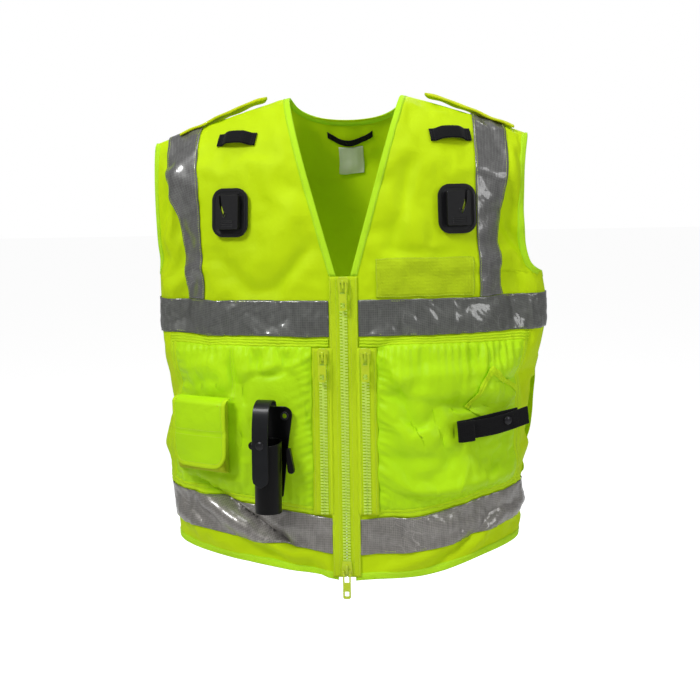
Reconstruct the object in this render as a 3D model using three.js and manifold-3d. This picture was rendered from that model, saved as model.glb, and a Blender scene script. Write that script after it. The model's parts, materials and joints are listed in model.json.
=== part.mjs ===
// A zip-front high visibility vest, as worn: two fronts and a back of fluorescent cloth, reflective
// tape, bound edges, two zipped pockets, a flap pocket, a strapped canister holder, two radio docks.
// Millimetres, +Z up. The wearer faces -Y, and the wearer's right is -X. The origin is the middle of
// the neck opening, level with the high points of the two shoulder seams.
import * as THREE from 'three';
import { mergeVertices } from 'three/addons/utils/BufferGeometryUtils.js';
import Module from 'manifold-3d';

const wasm = await Module();
wasm.setup();

// ---- Driving dimensions: the body of the vest ----
const CHEST_HALF_WIDTH = 282; // from the middle to the side seam, at the chest
const HEM_HALF_WIDTH = 258; // the same at the hem
const WIDTH_TAPERS_FROM = -335; // the height below which the sides draw in
const NECK_HALF_WIDTH = 80; // the finished neck edge, at the shoulder seam
const TIP_HALF_WIDTH = 262; // the finished armhole edge, at the shoulder seam
const SHOULDER_DROP = 58; // from the neck point down to the shoulder tip
const SHOULDER_Y = 6; // the plane of the shoulder and side seams
const SHOULDER_ROLL = 118; // the height over which the chest turns into the shoulder
const ZIP_TOP_Z = -253; // the foot of the V neck
const UNDERARM_Z = -255; // the foot of the armhole
const FRONT_DEPTH_TOP = 117; // the front's depth at the foot of the V neck
const FRONT_LEAN = 0.063; // how much further forward the front comes for each mm lower
const FRONT_DEPTH_NECK = 96; // the front's depth at the top
const BACK_DEPTH = 102; // the back's depth at the shoulder blades
const BACK_NECK_SCOOP = 28; // the back neckline's drop below the neck points
const SIDE_HEM_Z = -650; // the hem at the side seam and across the back
const HEM_DIP = 28; // how much lower the hem hangs at the zip
const CHEST_FOLD = 0.17; // the depth of the fold beside each armhole, as a share of the front's depth
const CLOTH = 1.2; // thickness of a cloth layer
const SEAM_GAP = 1.2; // room between the fronts and the back along a seam
const LAYER_GAP = 0.9; // room between a panel and what is sewn on it
const BUTT_GAP = 0.9; // room between a panel's edge and its binding

// ---- Driving dimensions: what is sewn on ----
const TAPE_WIDTH = 50; // reflective tape
const TAPE_THICKNESS = 0.7;
const CHEST_TAPE_Z = -285; // its top edge
const HEM_TAPE_ABOVE_HEM = 36;
const BRACE_TAPE_X = 190; // the inner edge of the tape over the shoulder
const BINDING_WIDTH = 10;
const BINDING_THICKNESS = 2.6;
const ZIP_TAPE_HALF = 19.4; // from the zip's middle to the outer edge of its tape
const ZIP_CHAIN_HALF = 5.2; // from the zip's middle to the root of the teeth
const CHAIN_SLOT_HALF = 1.7; // the groove between the two rows of teeth
const TEETH_THICKNESS = 3.2;
const ZIP_TAPE_THICKNESS = 0.8;
const CENTRE_EDGE = 12; // the panel's edge, under the zip tape
const ZIP_ABOVE_HEM = 7;
const POCKET_ZIP_X = 29;
const POCKET_ZIP_TAPE_IN = 21; // the inner edge of the pocket zip's tape
const POCKET_TOP_Z = -338; // the upper edge of the band above a pocket
const POCKET_BAND = 11; // the width of the bands round a pocket
const POCKET_IN_X = 45.5; // the bag's edge beside its zip
const POCKET_OUT_X = 248; // the bag's edge beside its outer band
const POCKET_PUFF = 11; // how far a bag stands off the panel

// ---- Driving dimensions: zip sliders and pulls ----
const SLIDER = { length: 21, width: 15.5, foot: 12.5, plate: 1.8, room: 0.45, post: 1.25 };
const CROWN = { length: 11, width: 3.2, height: 4.6, wall: 1.3 };
const PULL = { length: 38, width: 11, thickness: 2, arm: 2.2, yoke: 15, pin: 0.8, hole: 6 };

// ---- Driving dimensions: fittings ----
const DOCK = { x: 156, z: -163, width: 54, height: 68, corner: 17, flange: 2.4 };
const RECEIVER = { width: 33, height: 47, plate: 3, channel: 6.6, wall: 3.2, slit: 3 };
const CHEST_LOOP = { x: 149, z: -62, length: 60, width: 20, gap: 7.6, thickness: 1.3, lift: 2.6 };
const BADGE = { x0: 45, x1: 178, z0: -282, z1: -229, thickness: 1.1 };
const HOLDER = { x: -98, z: -500, lift: POCKET_PUFF + 6.2, plateWidth: 57, plateHeight: 128, plate: 3 };
const CUP = { radius: 19.5, wall: 1.9, length: 101, floor: 3, rimRake: 9 };
const HOLDER_STRAP = { width: 23, thickness: 2.2, drop: 108 };
const EYELET = { radius: 6, hole: 3.4, thickness: 1.4, spread: 18 };
const PHONE = { x: -194, z: -477, lift: POCKET_PUFF + 4, width: 86, height: 106, depth: 19, wall: 1.2 };
const FLAP = { width: 89, height: 97, thickness: 2.2, corner: 30 };
const SNAP_STRAP = { x: 197, z: -460, lift: POCKET_PUFF + 7.5, length: 112, width: 25, thickness: 1.6 };
const SNAP_STRAP_RISE = 14; // how much higher its outer end is
const SNAP_RADIUS = 6;
const DIAMOND = { x: 205, z: -426, half: 47, turn: 10, thickness: 1 };
const EPAULETTE = { x0: 115, x1: 242, half: 21, thickness: 2, lift: 5.6, raise: 7 };
const HANGER = { half: 35, width: 8, thickness: 1.2, sag: 12 };

// ---- The body's surface ----
const mix = (a, b, t) => a + (b - a) * t;
const clamp = (v, low, high) => Math.min(Math.max(v, low), high);
const smooth = (t) => clamp(t, 0, 1) ** 2 * (3 - 2 * clamp(t, 0, 1));
const FRONT = -1;
const BACK = 1;

// Half the vest's width at a height.
const halfWidth = (z) =>
  mix(CHEST_HALF_WIDTH, HEM_HALF_WIDTH, smooth((WIDTH_TAPERS_FROM - z) / (WIDTH_TAPERS_FROM - SIDE_HEM_Z)));

// The shoulder seam's height, which falls a little faster towards the tip.
function shoulderZ(x) {
  const t = (Math.abs(x) - NECK_HALF_WIDTH) / (TIP_HALF_WIDTH - NECK_HALF_WIDTH);
  return t > 0 ? -SHOULDER_DROP * t ** 1.15 : 0;
}

// Depth of the front or the back at a height, before it curves away towards the side.
function depthAt(side, z) {
  if (side === BACK) return BACK_DEPTH;
  return z > ZIP_TOP_Z
    ? mix(FRONT_DEPTH_TOP, FRONT_DEPTH_NECK, smooth((z - ZIP_TOP_Z) / -ZIP_TOP_Z))
    : FRONT_DEPTH_TOP + FRONT_LEAN * (ZIP_TOP_Z - z);
}

// How much of that depth is left at a turn towards the side: an oval, with a soft fold beside the
// armhole on the front, where the cloth drops off the chest.
function turnShare(side, turn, z) {
  const across = Math.abs(Math.sin(turn));
  const foldHeight = smooth((z + 370) / 60) * smooth((-110 - z) / 60);
  const fold = side === FRONT ? CHEST_FOLD * foldHeight * Math.exp(-(((across - 0.82) / 0.1) ** 2)) : 0;
  return Math.max(Math.cos(turn) - fold, 0);
}

// A point of the front or back: turn is 0 at the middle and a quarter turn at the side seam.
function bodyPoint(side, turn, z) {
  const x = halfWidth(z) * Math.sin(turn);
  const below = clamp((shoulderZ(x) - z) / SHOULDER_ROLL, 0, 1);
  const roll = Math.sqrt(1 - (1 - below) ** 2);
  const depth = SEAM_GAP / 2 + depthAt(side, z) * turnShare(side, turn, z) * roll;
  return new THREE.Vector3(x, SHOULDER_Y + side * depth, z);
}

const turnOf = (x, z) => Math.asin(clamp(x / halfWidth(z), -1, 1));
const bodyAt = (side, x, z) => bodyPoint(side, turnOf(x, z), z);

// The outward normal, from the surface's own slopes.
function bodyNormal(side, x, z) {
  const step = 0.5;
  const across = bodyAt(side, x + step, z).sub(bodyAt(side, x - step, z));
  const up = bodyAt(side, x, z + step).sub(bodyAt(side, x, z - step));
  const normal = across.cross(up).normalize();
  return normal.y * side < 0 ? normal.negate() : normal;
}

// The hem, lowest at the zip on the front and level across the back.
function hemZ(side, x) {
  const share = clamp(1 - Math.abs(x) / HEM_HALF_WIDTH, 0, 1);
  return SIDE_HEM_Z - (side === FRONT ? HEM_DIP * share ** 1.5 : 0);
}

// ---- Solids from geometry ----
function closed(triangles) {
  const geometry = new THREE.BufferGeometry();
  geometry.setAttribute('position', new THREE.Float32BufferAttribute(triangles, 3));
  return geometry;
}

function toSolid(geometry) {
  const bare = geometry.index ? geometry.toNonIndexed() : geometry.clone();
  bare.deleteAttribute('normal');
  bare.deleteAttribute('uv');
  const merged = mergeVertices(bare, 1e-3);
  return new wasm.Manifold(new wasm.Mesh({
    numProp: 3,
    vertProperties: merged.attributes.position.array,
    triVerts: new Uint32Array(merged.index.array),
  }));
}

function toGeometry(solid) {
  const mesh = solid.getMesh();
  const geometry = new THREE.BufferGeometry();
  const positions = new Float32Array(mesh.numVert * 3);
  for (let i = 0; i < mesh.numVert; i++) {
    positions.set(mesh.vertProperties.subarray(i * mesh.numProp, i * mesh.numProp + 3), i * 3);
  }
  geometry.setAttribute('position', new THREE.BufferAttribute(positions, 3));
  geometry.setIndex(new THREE.BufferAttribute(mesh.triVerts, 1));
  return geometry;
}

const joined = (...geometries) => toGeometry(geometries.map(toSolid).reduce((a, b) => a.add(b)));
const cut = (geometry, ...tools) =>
  toGeometry(tools.map(toSolid).reduce((a, b) => a.subtract(b), toSolid(geometry)));

// A closed sheet over a grid of points, from the offset "under" to the offset "over" along the
// grid's own normals. The two may be functions of the row and column.
function sheet(grid, under, over) {
  const rows = grid.length;
  const cols = grid[0].length;
  const at = (i, j) => grid[clamp(i, 0, rows - 1)][clamp(j, 0, cols - 1)];
  const middle = new THREE.Vector3(0, SHOULDER_Y, 0);
  grid.flat().forEach((p) => { middle.z += p.z / (rows * cols); });
  const normals = grid.map((row, i) => row.map((p, j) => {
    const down = at(i + 1, j).clone().sub(at(i - 1, j));
    const along = at(i, j + 1).clone().sub(at(i, j - 1));
    return down.cross(along).normalize();
  }));
  const outward = normals.flat().reduce((sum, n, k) => sum + n.dot(grid.flat()[k].clone().sub(middle)), 0);
  if (outward < 0) normals.flat().forEach((n) => n.negate());
  const offset = (value, i, j) => (typeof value === 'function' ? value(i, j) : value);
  const layer = (value) => grid.map((row, i) =>
    row.map((p, j) => p.clone().addScaledVector(normals[i][j], offset(value, i, j))));
  const outer = layer(over);
  const inner = layer(under);
  const triangles = [];
  const quad = (a, b, c, d) => [a, b, c, a, c, d].forEach((p) => triangles.push(p.x, p.y, p.z));
  for (let i = 0; i < rows - 1; i++) {
    const k = i + 1;
    for (let j = 0; j < cols - 1; j++) {
      quad(outer[i][j], outer[k][j], outer[k][j + 1], outer[i][j + 1]);
      quad(inner[i][j], inner[i][j + 1], inner[k][j + 1], inner[k][j]);
    }
    quad(inner[i][0], inner[k][0], outer[k][0], outer[i][0]);
    quad(outer[i][cols - 1], outer[k][cols - 1], inner[k][cols - 1], inner[i][cols - 1]);
  }
  for (let j = 0; j < cols - 1; j++) {
    quad(outer[0][j], outer[0][j + 1], inner[0][j + 1], inner[0][j]);
    quad(inner[rows - 1][j], inner[rows - 1][j + 1], outer[rows - 1][j + 1], outer[rows - 1][j]);
  }
  if (outward < 0) return closed(turnedRound(triangles));
  return closed(triangles);
}

// The same triangles facing the other way.
function turnedRound(triangles) {
  const turned = [];
  for (let i = 0; i < triangles.length; i += 9) {
    turned.push(...triangles.slice(i, i + 3));
    turned.push(...triangles.slice(i + 6, i + 9));
    turned.push(...triangles.slice(i + 3, i + 6));
  }
  return turned;
}

const box = (x0, x1, y0, y1, z0, z1) =>
  new THREE.BoxGeometry(x1 - x0, y1 - y0, z1 - z0).translate((x0 + x1) / 2, (y0 + y1) / 2, (z0 + z1) / 2);

// An outline in local X and Z, given its thickness from y0 (outer) to y1 (inner).
function plate(shape, y0, y1, curveSegments = 6) {
  const geometry = new THREE.ExtrudeGeometry(shape, { depth: y1 - y0, bevelEnabled: false, curveSegments });
  return geometry.rotateX(Math.PI / 2).translate(0, y1, 0);
}

function roundedOutline(width, height, corner, cx = 0, cz = 0) {
  const shape = new THREE.Shape();
  const x = width / 2;
  const z = height / 2;
  shape.moveTo(cx - x + corner, cz - z);
  shape.lineTo(cx + x - corner, cz - z).absarc(cx + x - corner, cz - z + corner, corner, -Math.PI / 2, 0);
  shape.lineTo(cx + x, cz + z - corner).absarc(cx + x - corner, cz + z - corner, corner, 0, Math.PI / 2);
  shape.lineTo(cx - x + corner, cz + z);
  shape.absarc(cx - x + corner, cz + z - corner, corner, Math.PI / 2, Math.PI);
  shape.lineTo(cx - x, cz - z + corner);
  shape.absarc(cx - x + corner, cz - z + corner, corner, Math.PI, Math.PI * 1.5);
  return shape;
}

// ---- Materials ----
const material = (color, roughness, metalness = 0) =>
  new THREE.MeshStandardMaterial({ color, roughness, metalness });
const LOOKS = {
  cloth: material(0xc8f000, 0.75),
  pocket_cloth: material(0xb8f51e, 0.6),
  binding: material(0xc4ec1c, 0.8),
  reflective: material(0x77777a, 0.35, 0.3),
  zip_plastic: material(0xc9ee2a, 0.45),
  fitting_plastic: material(0x1c1d1f, 0.5),
  leather: material(0x202124, 0.55),
  webbing: material(0x0e0e10, 0.85),
  metal: material(0x3a3b40, 0.35, 0.9),
};

const vest = new THREE.Group();
function add(name, geometry, look, parent = vest) {
  const mesh = new THREE.Mesh(geometry, LOOKS[look]);
  mesh.name = name;
  parent.add(mesh);
  return mesh;
}

// ---- Cloth cut from the body's surface ----
// Every sewn layer is a slice of the space between two offsets of the same faceted body, trimmed to
// an outline in X and Z, so that layers at different offsets never touch.
const columns = (n) => Array.from({ length: n }, (_, i) => i / (n - 1));
const TURNS = columns(25).map((u) => mix(-Math.PI / 2, Math.PI / 2, u));
const SHOULDER_DROPS = [0, 0.01, 0.04, 0.1, 0.2, 0.36, 0.56, 0.8, 1.1, 1.45, 1.85];
const BODY_ROWS = 11;

const bodyGrid = (side) => {
  const upper = SHOULDER_DROPS.map((share) => TURNS.map((turn) => {
    const x = CHEST_HALF_WIDTH * Math.sin(turn);
    const level = share * SHOULDER_ROLL;
    return bodyPoint(side, turn, mix(shoulderZ(x), 0, smooth(level / -ZIP_TOP_Z)) - level);
  }));
  const foot = SIDE_HEM_Z - HEM_DIP - 30;
  const lower = columns(BODY_ROWS).map((v) =>
    TURNS.map((turn) => bodyPoint(side, turn, mix(ZIP_TOP_Z, foot, v))));
  return [...upper, ...lower];
};
const GRIDS = { [FRONT]: bodyGrid(FRONT), [BACK]: bodyGrid(BACK) };

// The space between two offsets of a side; each offset is a number or a function of a point.
function slab(side, under, over) {
  const grid = GRIDS[side];
  const at = (value) => (typeof value === 'function' ? (i, j) => value(grid[i][j]) : value);
  return toSolid(sheet(grid, at(under), at(over)));
}

const OUT = 500; // past the side seams and past the front and back
const prism = (side, points) => {
  const shape = new THREE.Shape(points.map(([x, z]) => new THREE.Vector2(x, z)));
  const range = side === FRONT ? [-OUT, SHOULDER_Y + 5] : [SHOULDER_Y - 5, OUT];
  return toSolid(plate(shape, ...range));
};

const slice = (side, under, over, points) => slab(side, under, over).intersect(prism(side, points));
const mirrored = (hand, points) => points.map(([x, z]) => [hand * x, z]);
const INSET = BINDING_WIDTH + BUTT_GAP;

// A band between two heights, each a function of x, from one x to another.
function band(topAt, footAt, x0, x1, count = 14) {
  const across = columns(count).map((u) => mix(x0, x1, u));
  return [...across.map((x) => [x, topAt(x)]), ...across.reverse().map((x) => [x, footAt(x)])];
}

// The armhole's edge from beyond the side seam to above the shoulder, moved in by an inset.
function armholeLine(side, inset) {
  const curve = new THREE.CubicBezierCurve(
    new THREE.Vector2(CHEST_HALF_WIDTH, UNDERARM_Z),
    new THREE.Vector2(side === FRONT ? 232 : 250, UNDERARM_Z + 12),
    new THREE.Vector2(side === FRONT ? 236 : 246, -SHOULDER_DROP - 75),
    new THREE.Vector2(TIP_HALF_WIDTH, -SHOULDER_DROP),
  );
  const edge = columns(17).map((t) => {
    const p = curve.getPoint(t);
    const along = curve.getTangent(t);
    return [p.x - along.y * inset, p.y + along.x * inset];
  });
  const [x, z] = edge[edge.length - 1];
  return [[OUT, UNDERARM_Z - inset], ...edge, [x + 26, z + 75]];
}

// The V neck's edge from above the shoulder to its foot, moved out by an inset.
function neckLine(inset) {
  const foot = [CENTRE_EDGE - 2 + inset, ZIP_TOP_Z + 1];
  const top = NECK_HALF_WIDTH + inset;
  return [[top, 60], [top, 0], [mix(foot[0], top, 0.46), -138], foot];
}

// The back neck's edge from the right to the left, lowered by an inset.
const backNeckLine = (inset) => columns(17).map((u) => {
  const angle = mix(Math.PI, 0, u);
  return [(NECK_HALF_WIDTH + inset) * Math.cos(angle), -(BACK_NECK_SCOOP + inset) * Math.sin(angle)];
});

const hemLine = (side, x0, up) => columns(17).map((u) => {
  const x = mix(x0, HEM_HALF_WIDTH, u);
  return [x, hemZ(side, x) + up];
});

// ---- Panels ----
const HANDS = [['right', -1], ['left', 1]];

function frontPanel(hand) {
  const outline = [
    ...hemLine(FRONT, CENTRE_EDGE, INSET), [OUT, SIDE_HEM_Z + INSET],
    ...armholeLine(FRONT, INSET), ...neckLine(INSET), [CENTRE_EDGE, ZIP_TOP_Z],
  ];
  return toGeometry(slice(FRONT, 0, CLOTH, mirrored(hand, outline)));
}

function backPanel() {
  const half = [[OUT, SIDE_HEM_Z + INSET], ...armholeLine(BACK, INSET), [NECK_HALF_WIDTH + INSET, 60]];
  const neck = backNeckLine(INSET).reverse();
  const outline = [...half, ...neck, ...mirrored(-1, half).reverse()];
  return toGeometry(slice(BACK, 0, CLOTH, outline));
}

for (const [name, hand] of HANDS) add(`front_panel_${name}`, frontPanel(hand), 'cloth');
add('back_panel', backPanel(), 'cloth');

// ---- Bindings ----
const BINDING_UNDER = -(BINDING_THICKNESS - CLOTH) / 2;
const BINDING_OVER = BINDING_UNDER + BINDING_THICKNESS;

// A short bridge across the shoulder or side seam, which makes one piece of the halves either side.
function shoulderBridge(hand, x0, x1, under, over) {
  const outline = band((x) => shoulderZ(x) + over, (x) => shoulderZ(x) + under, x0, x1, 5);
  const shape = new THREE.Shape(mirrored(hand, outline).map(([x, z]) => new THREE.Vector2(x, z)));
  return toSolid(plate(shape, SHOULDER_Y - 5, SHOULDER_Y + 5));
}

function sideBridge(hand, z0, z1, under, over) {
  const edge = halfWidth((z0 + z1) / 2);
  const sides = [hand * (edge + under), hand * (edge + over)].sort((a, b) => a - b);
  return toSolid(box(...sides, SHOULDER_Y - 7, SHOULDER_Y + 7, z0, z1));
}

// One ribbon up the right V, round the back of the neck and down the left V.
function neckBinding() {
  const v = [...neckLine(0), ...neckLine(BINDING_WIDTH).reverse()];
  const nape = [...backNeckLine(0), ...backNeckLine(BINDING_WIDTH).reverse()];
  const rise = (x) => [[x, 0], [x, 60]];
  const ends = [-1, 1].map((hand) => slice(BACK, BINDING_UNDER, BINDING_OVER, mirrored(hand, [
    ...rise(NECK_HALF_WIDTH), ...rise(NECK_HALF_WIDTH + BINDING_WIDTH).reverse(),
  ])));
  const bridges = [-1, 1].map((hand) =>
    shoulderBridge(hand, NECK_HALF_WIDTH, NECK_HALF_WIDTH + BINDING_WIDTH, BINDING_UNDER, BINDING_OVER));
  return [
    slice(FRONT, BINDING_UNDER, BINDING_OVER, v), slice(FRONT, BINDING_UNDER, BINDING_OVER, mirrored(-1, v)),
    slice(BACK, BINDING_UNDER, BINDING_OVER, nape), ...ends, ...bridges,
  ];
}

function armholeBinding(hand) {
  const edge = (side) => [...armholeLine(side, 0), ...armholeLine(side, BINDING_WIDTH).reverse()];
  const rings = [FRONT, BACK].map((side) =>
    slice(side, BINDING_UNDER, BINDING_OVER, mirrored(hand, edge(side))));
  return [
    ...rings,
    shoulderBridge(hand, TIP_HALF_WIDTH - BINDING_WIDTH + 2, TIP_HALF_WIDTH - 0.5,
      BINDING_UNDER, BINDING_OVER),
    sideBridge(hand, UNDERARM_Z - BINDING_WIDTH + 1.5, UNDERARM_Z - 0.5, BINDING_UNDER, BINDING_OVER),
  ];
}

function hemBinding() {
  const front = [
    ...hemLine(FRONT, CENTRE_EDGE, 0), [OUT, SIDE_HEM_Z],
    [OUT, SIDE_HEM_Z + BINDING_WIDTH], ...hemLine(FRONT, CENTRE_EDGE, BINDING_WIDTH).reverse(),
  ];
  const back = band(() => SIDE_HEM_Z + BINDING_WIDTH, () => SIDE_HEM_Z, -OUT, OUT, 2);
  return [
    ...[-1, 1].map((hand) => slice(FRONT, BINDING_UNDER, BINDING_OVER, mirrored(hand, front))),
    slice(BACK, BINDING_UNDER, BINDING_OVER, back),
    ...[-1, 1].map((hand) =>
      sideBridge(hand, SIDE_HEM_Z, SIDE_HEM_Z + BINDING_WIDTH, BINDING_UNDER, BINDING_OVER)),
  ];
}

const oneOf = (solids) => toGeometry(solids.reduce((a, b) => a.add(b)));
add('neck_binding', oneOf(neckBinding()), 'binding');
for (const [name, hand] of HANDS) add(`armhole_binding_${name}`, oneOf(armholeBinding(hand)), 'binding');
add('hem_binding', oneOf(hemBinding()), 'binding');

// ---- Reflective tape ----
const TAPE_UNDER = CLOTH + LAYER_GAP;
const TAPE_OVER = TAPE_UNDER + TAPE_THICKNESS;
const TAPE_START_X = ZIP_TAPE_HALF + 0.8;
const hemTapeTop = (x) => hemZ(FRONT, x) + HEM_TAPE_ABOVE_HEM + TAPE_WIDTH;

function frontTape(hand, topAt) {
  const outline = band(topAt, (x) => topAt(x) - TAPE_WIDTH, TAPE_START_X, OUT, 30);
  return slice(FRONT, TAPE_UNDER, TAPE_OVER, mirrored(hand, outline));
}

const backTape = (top) =>
  slice(BACK, TAPE_UNDER, TAPE_OVER, band(() => top, () => top - TAPE_WIDTH, -OUT, OUT, 2));

// The tape over a shoulder, from the chest tape in front to the one behind.
function braceTape(hand) {
  const foot = CHEST_TAPE_Z + BUTT_GAP;
  const outline = mirrored(hand, band(() => 60, () => foot, BRACE_TAPE_X, BRACE_TAPE_X + TAPE_WIDTH, 2));
  return [
    slice(FRONT, TAPE_UNDER, TAPE_OVER, outline), slice(BACK, TAPE_UNDER, TAPE_OVER, outline),
    shoulderBridge(hand, BRACE_TAPE_X, BRACE_TAPE_X + TAPE_WIDTH, TAPE_UNDER, TAPE_OVER),
  ];
}

for (const [name, hand] of HANDS) {
  add(`chest_tape_${name}`, toGeometry(frontTape(hand, () => CHEST_TAPE_Z)), 'reflective');
  add(`hem_tape_${name}`, toGeometry(frontTape(hand, hemTapeTop)), 'reflective');
  add(`brace_tape_${name}`, oneOf(braceTape(hand)), 'reflective');
}
add('chest_tape_back', toGeometry(backTape(CHEST_TAPE_Z)), 'reflective');
add('hem_tape_back', toGeometry(backTape(SIDE_HEM_Z + HEM_TAPE_ABOVE_HEM + TAPE_WIDTH)), 'reflective');

// ---- Local frames on the front ----
// A group whose X runs across the front, whose Z runs up it and whose -Y points out of it.
function frameOn(x, z, lift, turn = 0) {
  const group = new THREE.Group();
  const out = bodyNormal(FRONT, x, z);
  const up = new THREE.Vector3(0, 0, 1).addScaledVector(out, -out.z).normalize();
  const right = new THREE.Vector3().crossVectors(out.clone().negate(), up);
  group.matrixAutoUpdate = false;
  group.matrix.makeBasis(right, out.clone().negate(), up);
  group.matrix.setPosition(bodyAt(FRONT, x, z).addScaledVector(out, lift));
  group.matrix.multiply(new THREE.Matrix4().makeRotationY(turn));
  vest.add(group);
  return group;
}

// ---- Zips ----
const mainZipLength = ZIP_TOP_Z - ZIP_ABOVE_HEM - hemZ(FRONT, 0);
// A zip's frame: the origin is at the top of the chain, in the middle of its thickness.
const ZIP_LIFT = TAPE_UNDER + ZIP_TAPE_THICKNESS / 2;
const POCKET_ZIP_LIFT = CLOTH + 0.8 + TEETH_THICKNESS / 2 + SLIDER.room + SLIDER.plate * 0.6;
const TAPE_ROOT = ZIP_CHAIN_HALF + 0.3;
const halfThick = ZIP_TAPE_THICKNESS / 2;
const ordered = (a, b) => [Math.min(a, b), Math.max(a, b)];
const teethBar = (hand, length) => box(...ordered(hand * CHAIN_SLOT_HALF, hand * ZIP_CHAIN_HALF),
  -TEETH_THICKNESS / 2, TEETH_THICKNESS / 2, -length, 0);

function sliderOutline(half, foot) {
  const shape = new THREE.Shape();
  const top = SLIDER.length / 2;
  shape.moveTo(-foot, -top).lineTo(foot, -top).lineTo(half, top * 0.35);
  shape.quadraticCurveTo(half, top, half - 3, top).lineTo(-half + 3, top);
  shape.quadraticCurveTo(-half, top, -half, top * 0.35).lineTo(-foot, -top);
  return shape;
}

// A slider: two plates with the chain between them, joined by the post that parts the teeth, with
// a crown outside for the pull. up is 1 for a slider that closes upwards and -1 for one below it.
function sliderBody(up) {
  const inner = TEETH_THICKNESS / 2 + SLIDER.room;
  const outline = sliderOutline(SLIDER.width / 2, SLIDER.foot / 2);
  const front = plate(outline, -inner - SLIDER.plate, -inner);
  const rear = plate(outline, inner, inner + SLIDER.plate * 0.6);
  const reach = inner + 0.2;
  const post = box(-SLIDER.post, SLIDER.post, -reach, reach, SLIDER.length * 0.12, SLIDER.length / 2);
  const foot = -inner - SLIDER.plate;
  const crownFace = foot - CROWN.height;
  const half = CROWN.length / 2;
  const crown = cut(
    box(-CROWN.width / 2, CROWN.width / 2, crownFace, foot + 0.2, -half, half),
    box(-CROWN.width, CROWN.width, crownFace + CROWN.wall, foot, CROWN.wall - half, half - CROWN.wall),
  );
  const body = joined(front, rear, post, crown);
  return up > 0 ? body : body.rotateY(Math.PI);
}

// The pull's pivot, out from the chain's middle and up from the slider's.
const CROWN_FACE = TEETH_THICKNESS / 2 + SLIDER.room + SLIDER.plate + CROWN.height;
const PIVOT_OUT = CROWN_FACE - CROWN.wall - PULL.pin - 0.35;
const PIVOT_UP = CROWN.length / 2 - CROWN.wall - PULL.pin - 0.6;

// A pull, hanging from its own pivot: a pin through the crown between two arms, and a tab with a hole.
function pullTab() {
  const half = PULL.width / 2;
  const end = 1.4; // how far the arms pass the pin
  const outer = -CROWN.wall - PULL.pin - 0.7 - PULL.thickness;
  const outline = new THREE.Shape();
  outline.moveTo(-half, end).lineTo(-half, 2 - PULL.length).lineTo(2 - half, -PULL.length);
  outline.lineTo(half - 2, -PULL.length).lineTo(half, 2 - PULL.length).lineTo(half, end);
  outline.lineTo(half - PULL.arm, end).lineTo(half - PULL.arm, -PULL.yoke);
  outline.lineTo(PULL.arm - half, -PULL.yoke).lineTo(PULL.arm - half, end);
  const hole = roundedOutline(PULL.hole, PULL.hole + 1, 1, 0, -PULL.length + 4 + PULL.hole / 2);
  outline.holes.push(new THREE.Path(hole.getPoints(2)));
  const tab = plate(outline, outer, outer + PULL.thickness, 2);
  const cheek = (hand) => {
    const sides = [hand * half, hand * (half - PULL.arm)].sort((a, b) => a - b);
    return box(...sides, outer, PULL.pin, -end, end);
  };
  const pin = new THREE.CylinderGeometry(PULL.pin, PULL.pin, PULL.width - PULL.arm, 10).rotateZ(Math.PI / 2);
  return joined(tab, cheek(-1), cheek(1), pin);
}

function addSlider(name, frame, drop, up) {
  const seat = new THREE.Group();
  seat.position.z = -drop;
  frame.add(seat);
  add(`${name}_slider`, sliderBody(up), 'zip_plastic', seat);
  const pivot = new THREE.Group();
  pivot.position.set(0, -PIVOT_OUT, up > 0 ? PIVOT_UP : -PIVOT_UP);
  seat.add(pivot);
  add(`${name}_pull`, pullTab(), 'zip_plastic', pivot);
}

// A frame along the straight line that a zip's chain follows.
function zipFrame(x, topZ, lift) {
  const frame = frameOn(x, topZ - 40, 0);
  frame.matrix.setPosition(bodyAt(FRONT, x, topZ).addScaledVector(bodyNormal(FRONT, x, topZ - 40), lift));
  return frame;
}

const mainZip = zipFrame(0, ZIP_TOP_Z, ZIP_LIFT);
for (const [name, hand] of HANDS) {
  const edges = [hand * TAPE_ROOT, hand * ZIP_TAPE_HALF].sort((a, b) => a - b);
  add(`zip_tape_${name}`, box(...edges, -halfThick, halfThick, -mainZipLength - 6, 6), 'binding', mainZip);
  add(`zip_teeth_${name}`, teethBar(hand, mainZipLength), 'zip_plastic', mainZip);
}
addSlider('top', mainZip, SLIDER.length / 2, 1);
addSlider('bottom', mainZip, mainZipLength - SLIDER.length / 2, -1);

// ---- Pockets ----
// How far a pocket's bag stands off the panel at a point: nothing at its sewn edges.
function pocketPuff(p) {
  const foot = hemTapeTop(p.x) + POCKET_BAND;
  const u = clamp((Math.abs(p.x) - POCKET_IN_X) / (POCKET_OUT_X - POCKET_IN_X), 0, 1);
  const v = clamp((p.z - foot) / (POCKET_TOP_Z - POCKET_BAND - foot), 0, 1);
  return POCKET_PUFF * (Math.sin(Math.PI * u) * Math.sin(Math.PI * v)) ** 0.6;
}

function pocketBag(hand) {
  const top = POCKET_TOP_Z - POCKET_BAND - BUTT_GAP;
  const outline = band(() => top, (x) => hemTapeTop(x) + POCKET_BAND + BUTT_GAP, POCKET_IN_X, POCKET_OUT_X);
  const under = (p) => TAPE_UNDER + pocketPuff(p);
  return toGeometry(slice(FRONT, under, (p) => under(p) + CLOTH, mirrored(hand, outline)));
}

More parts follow.
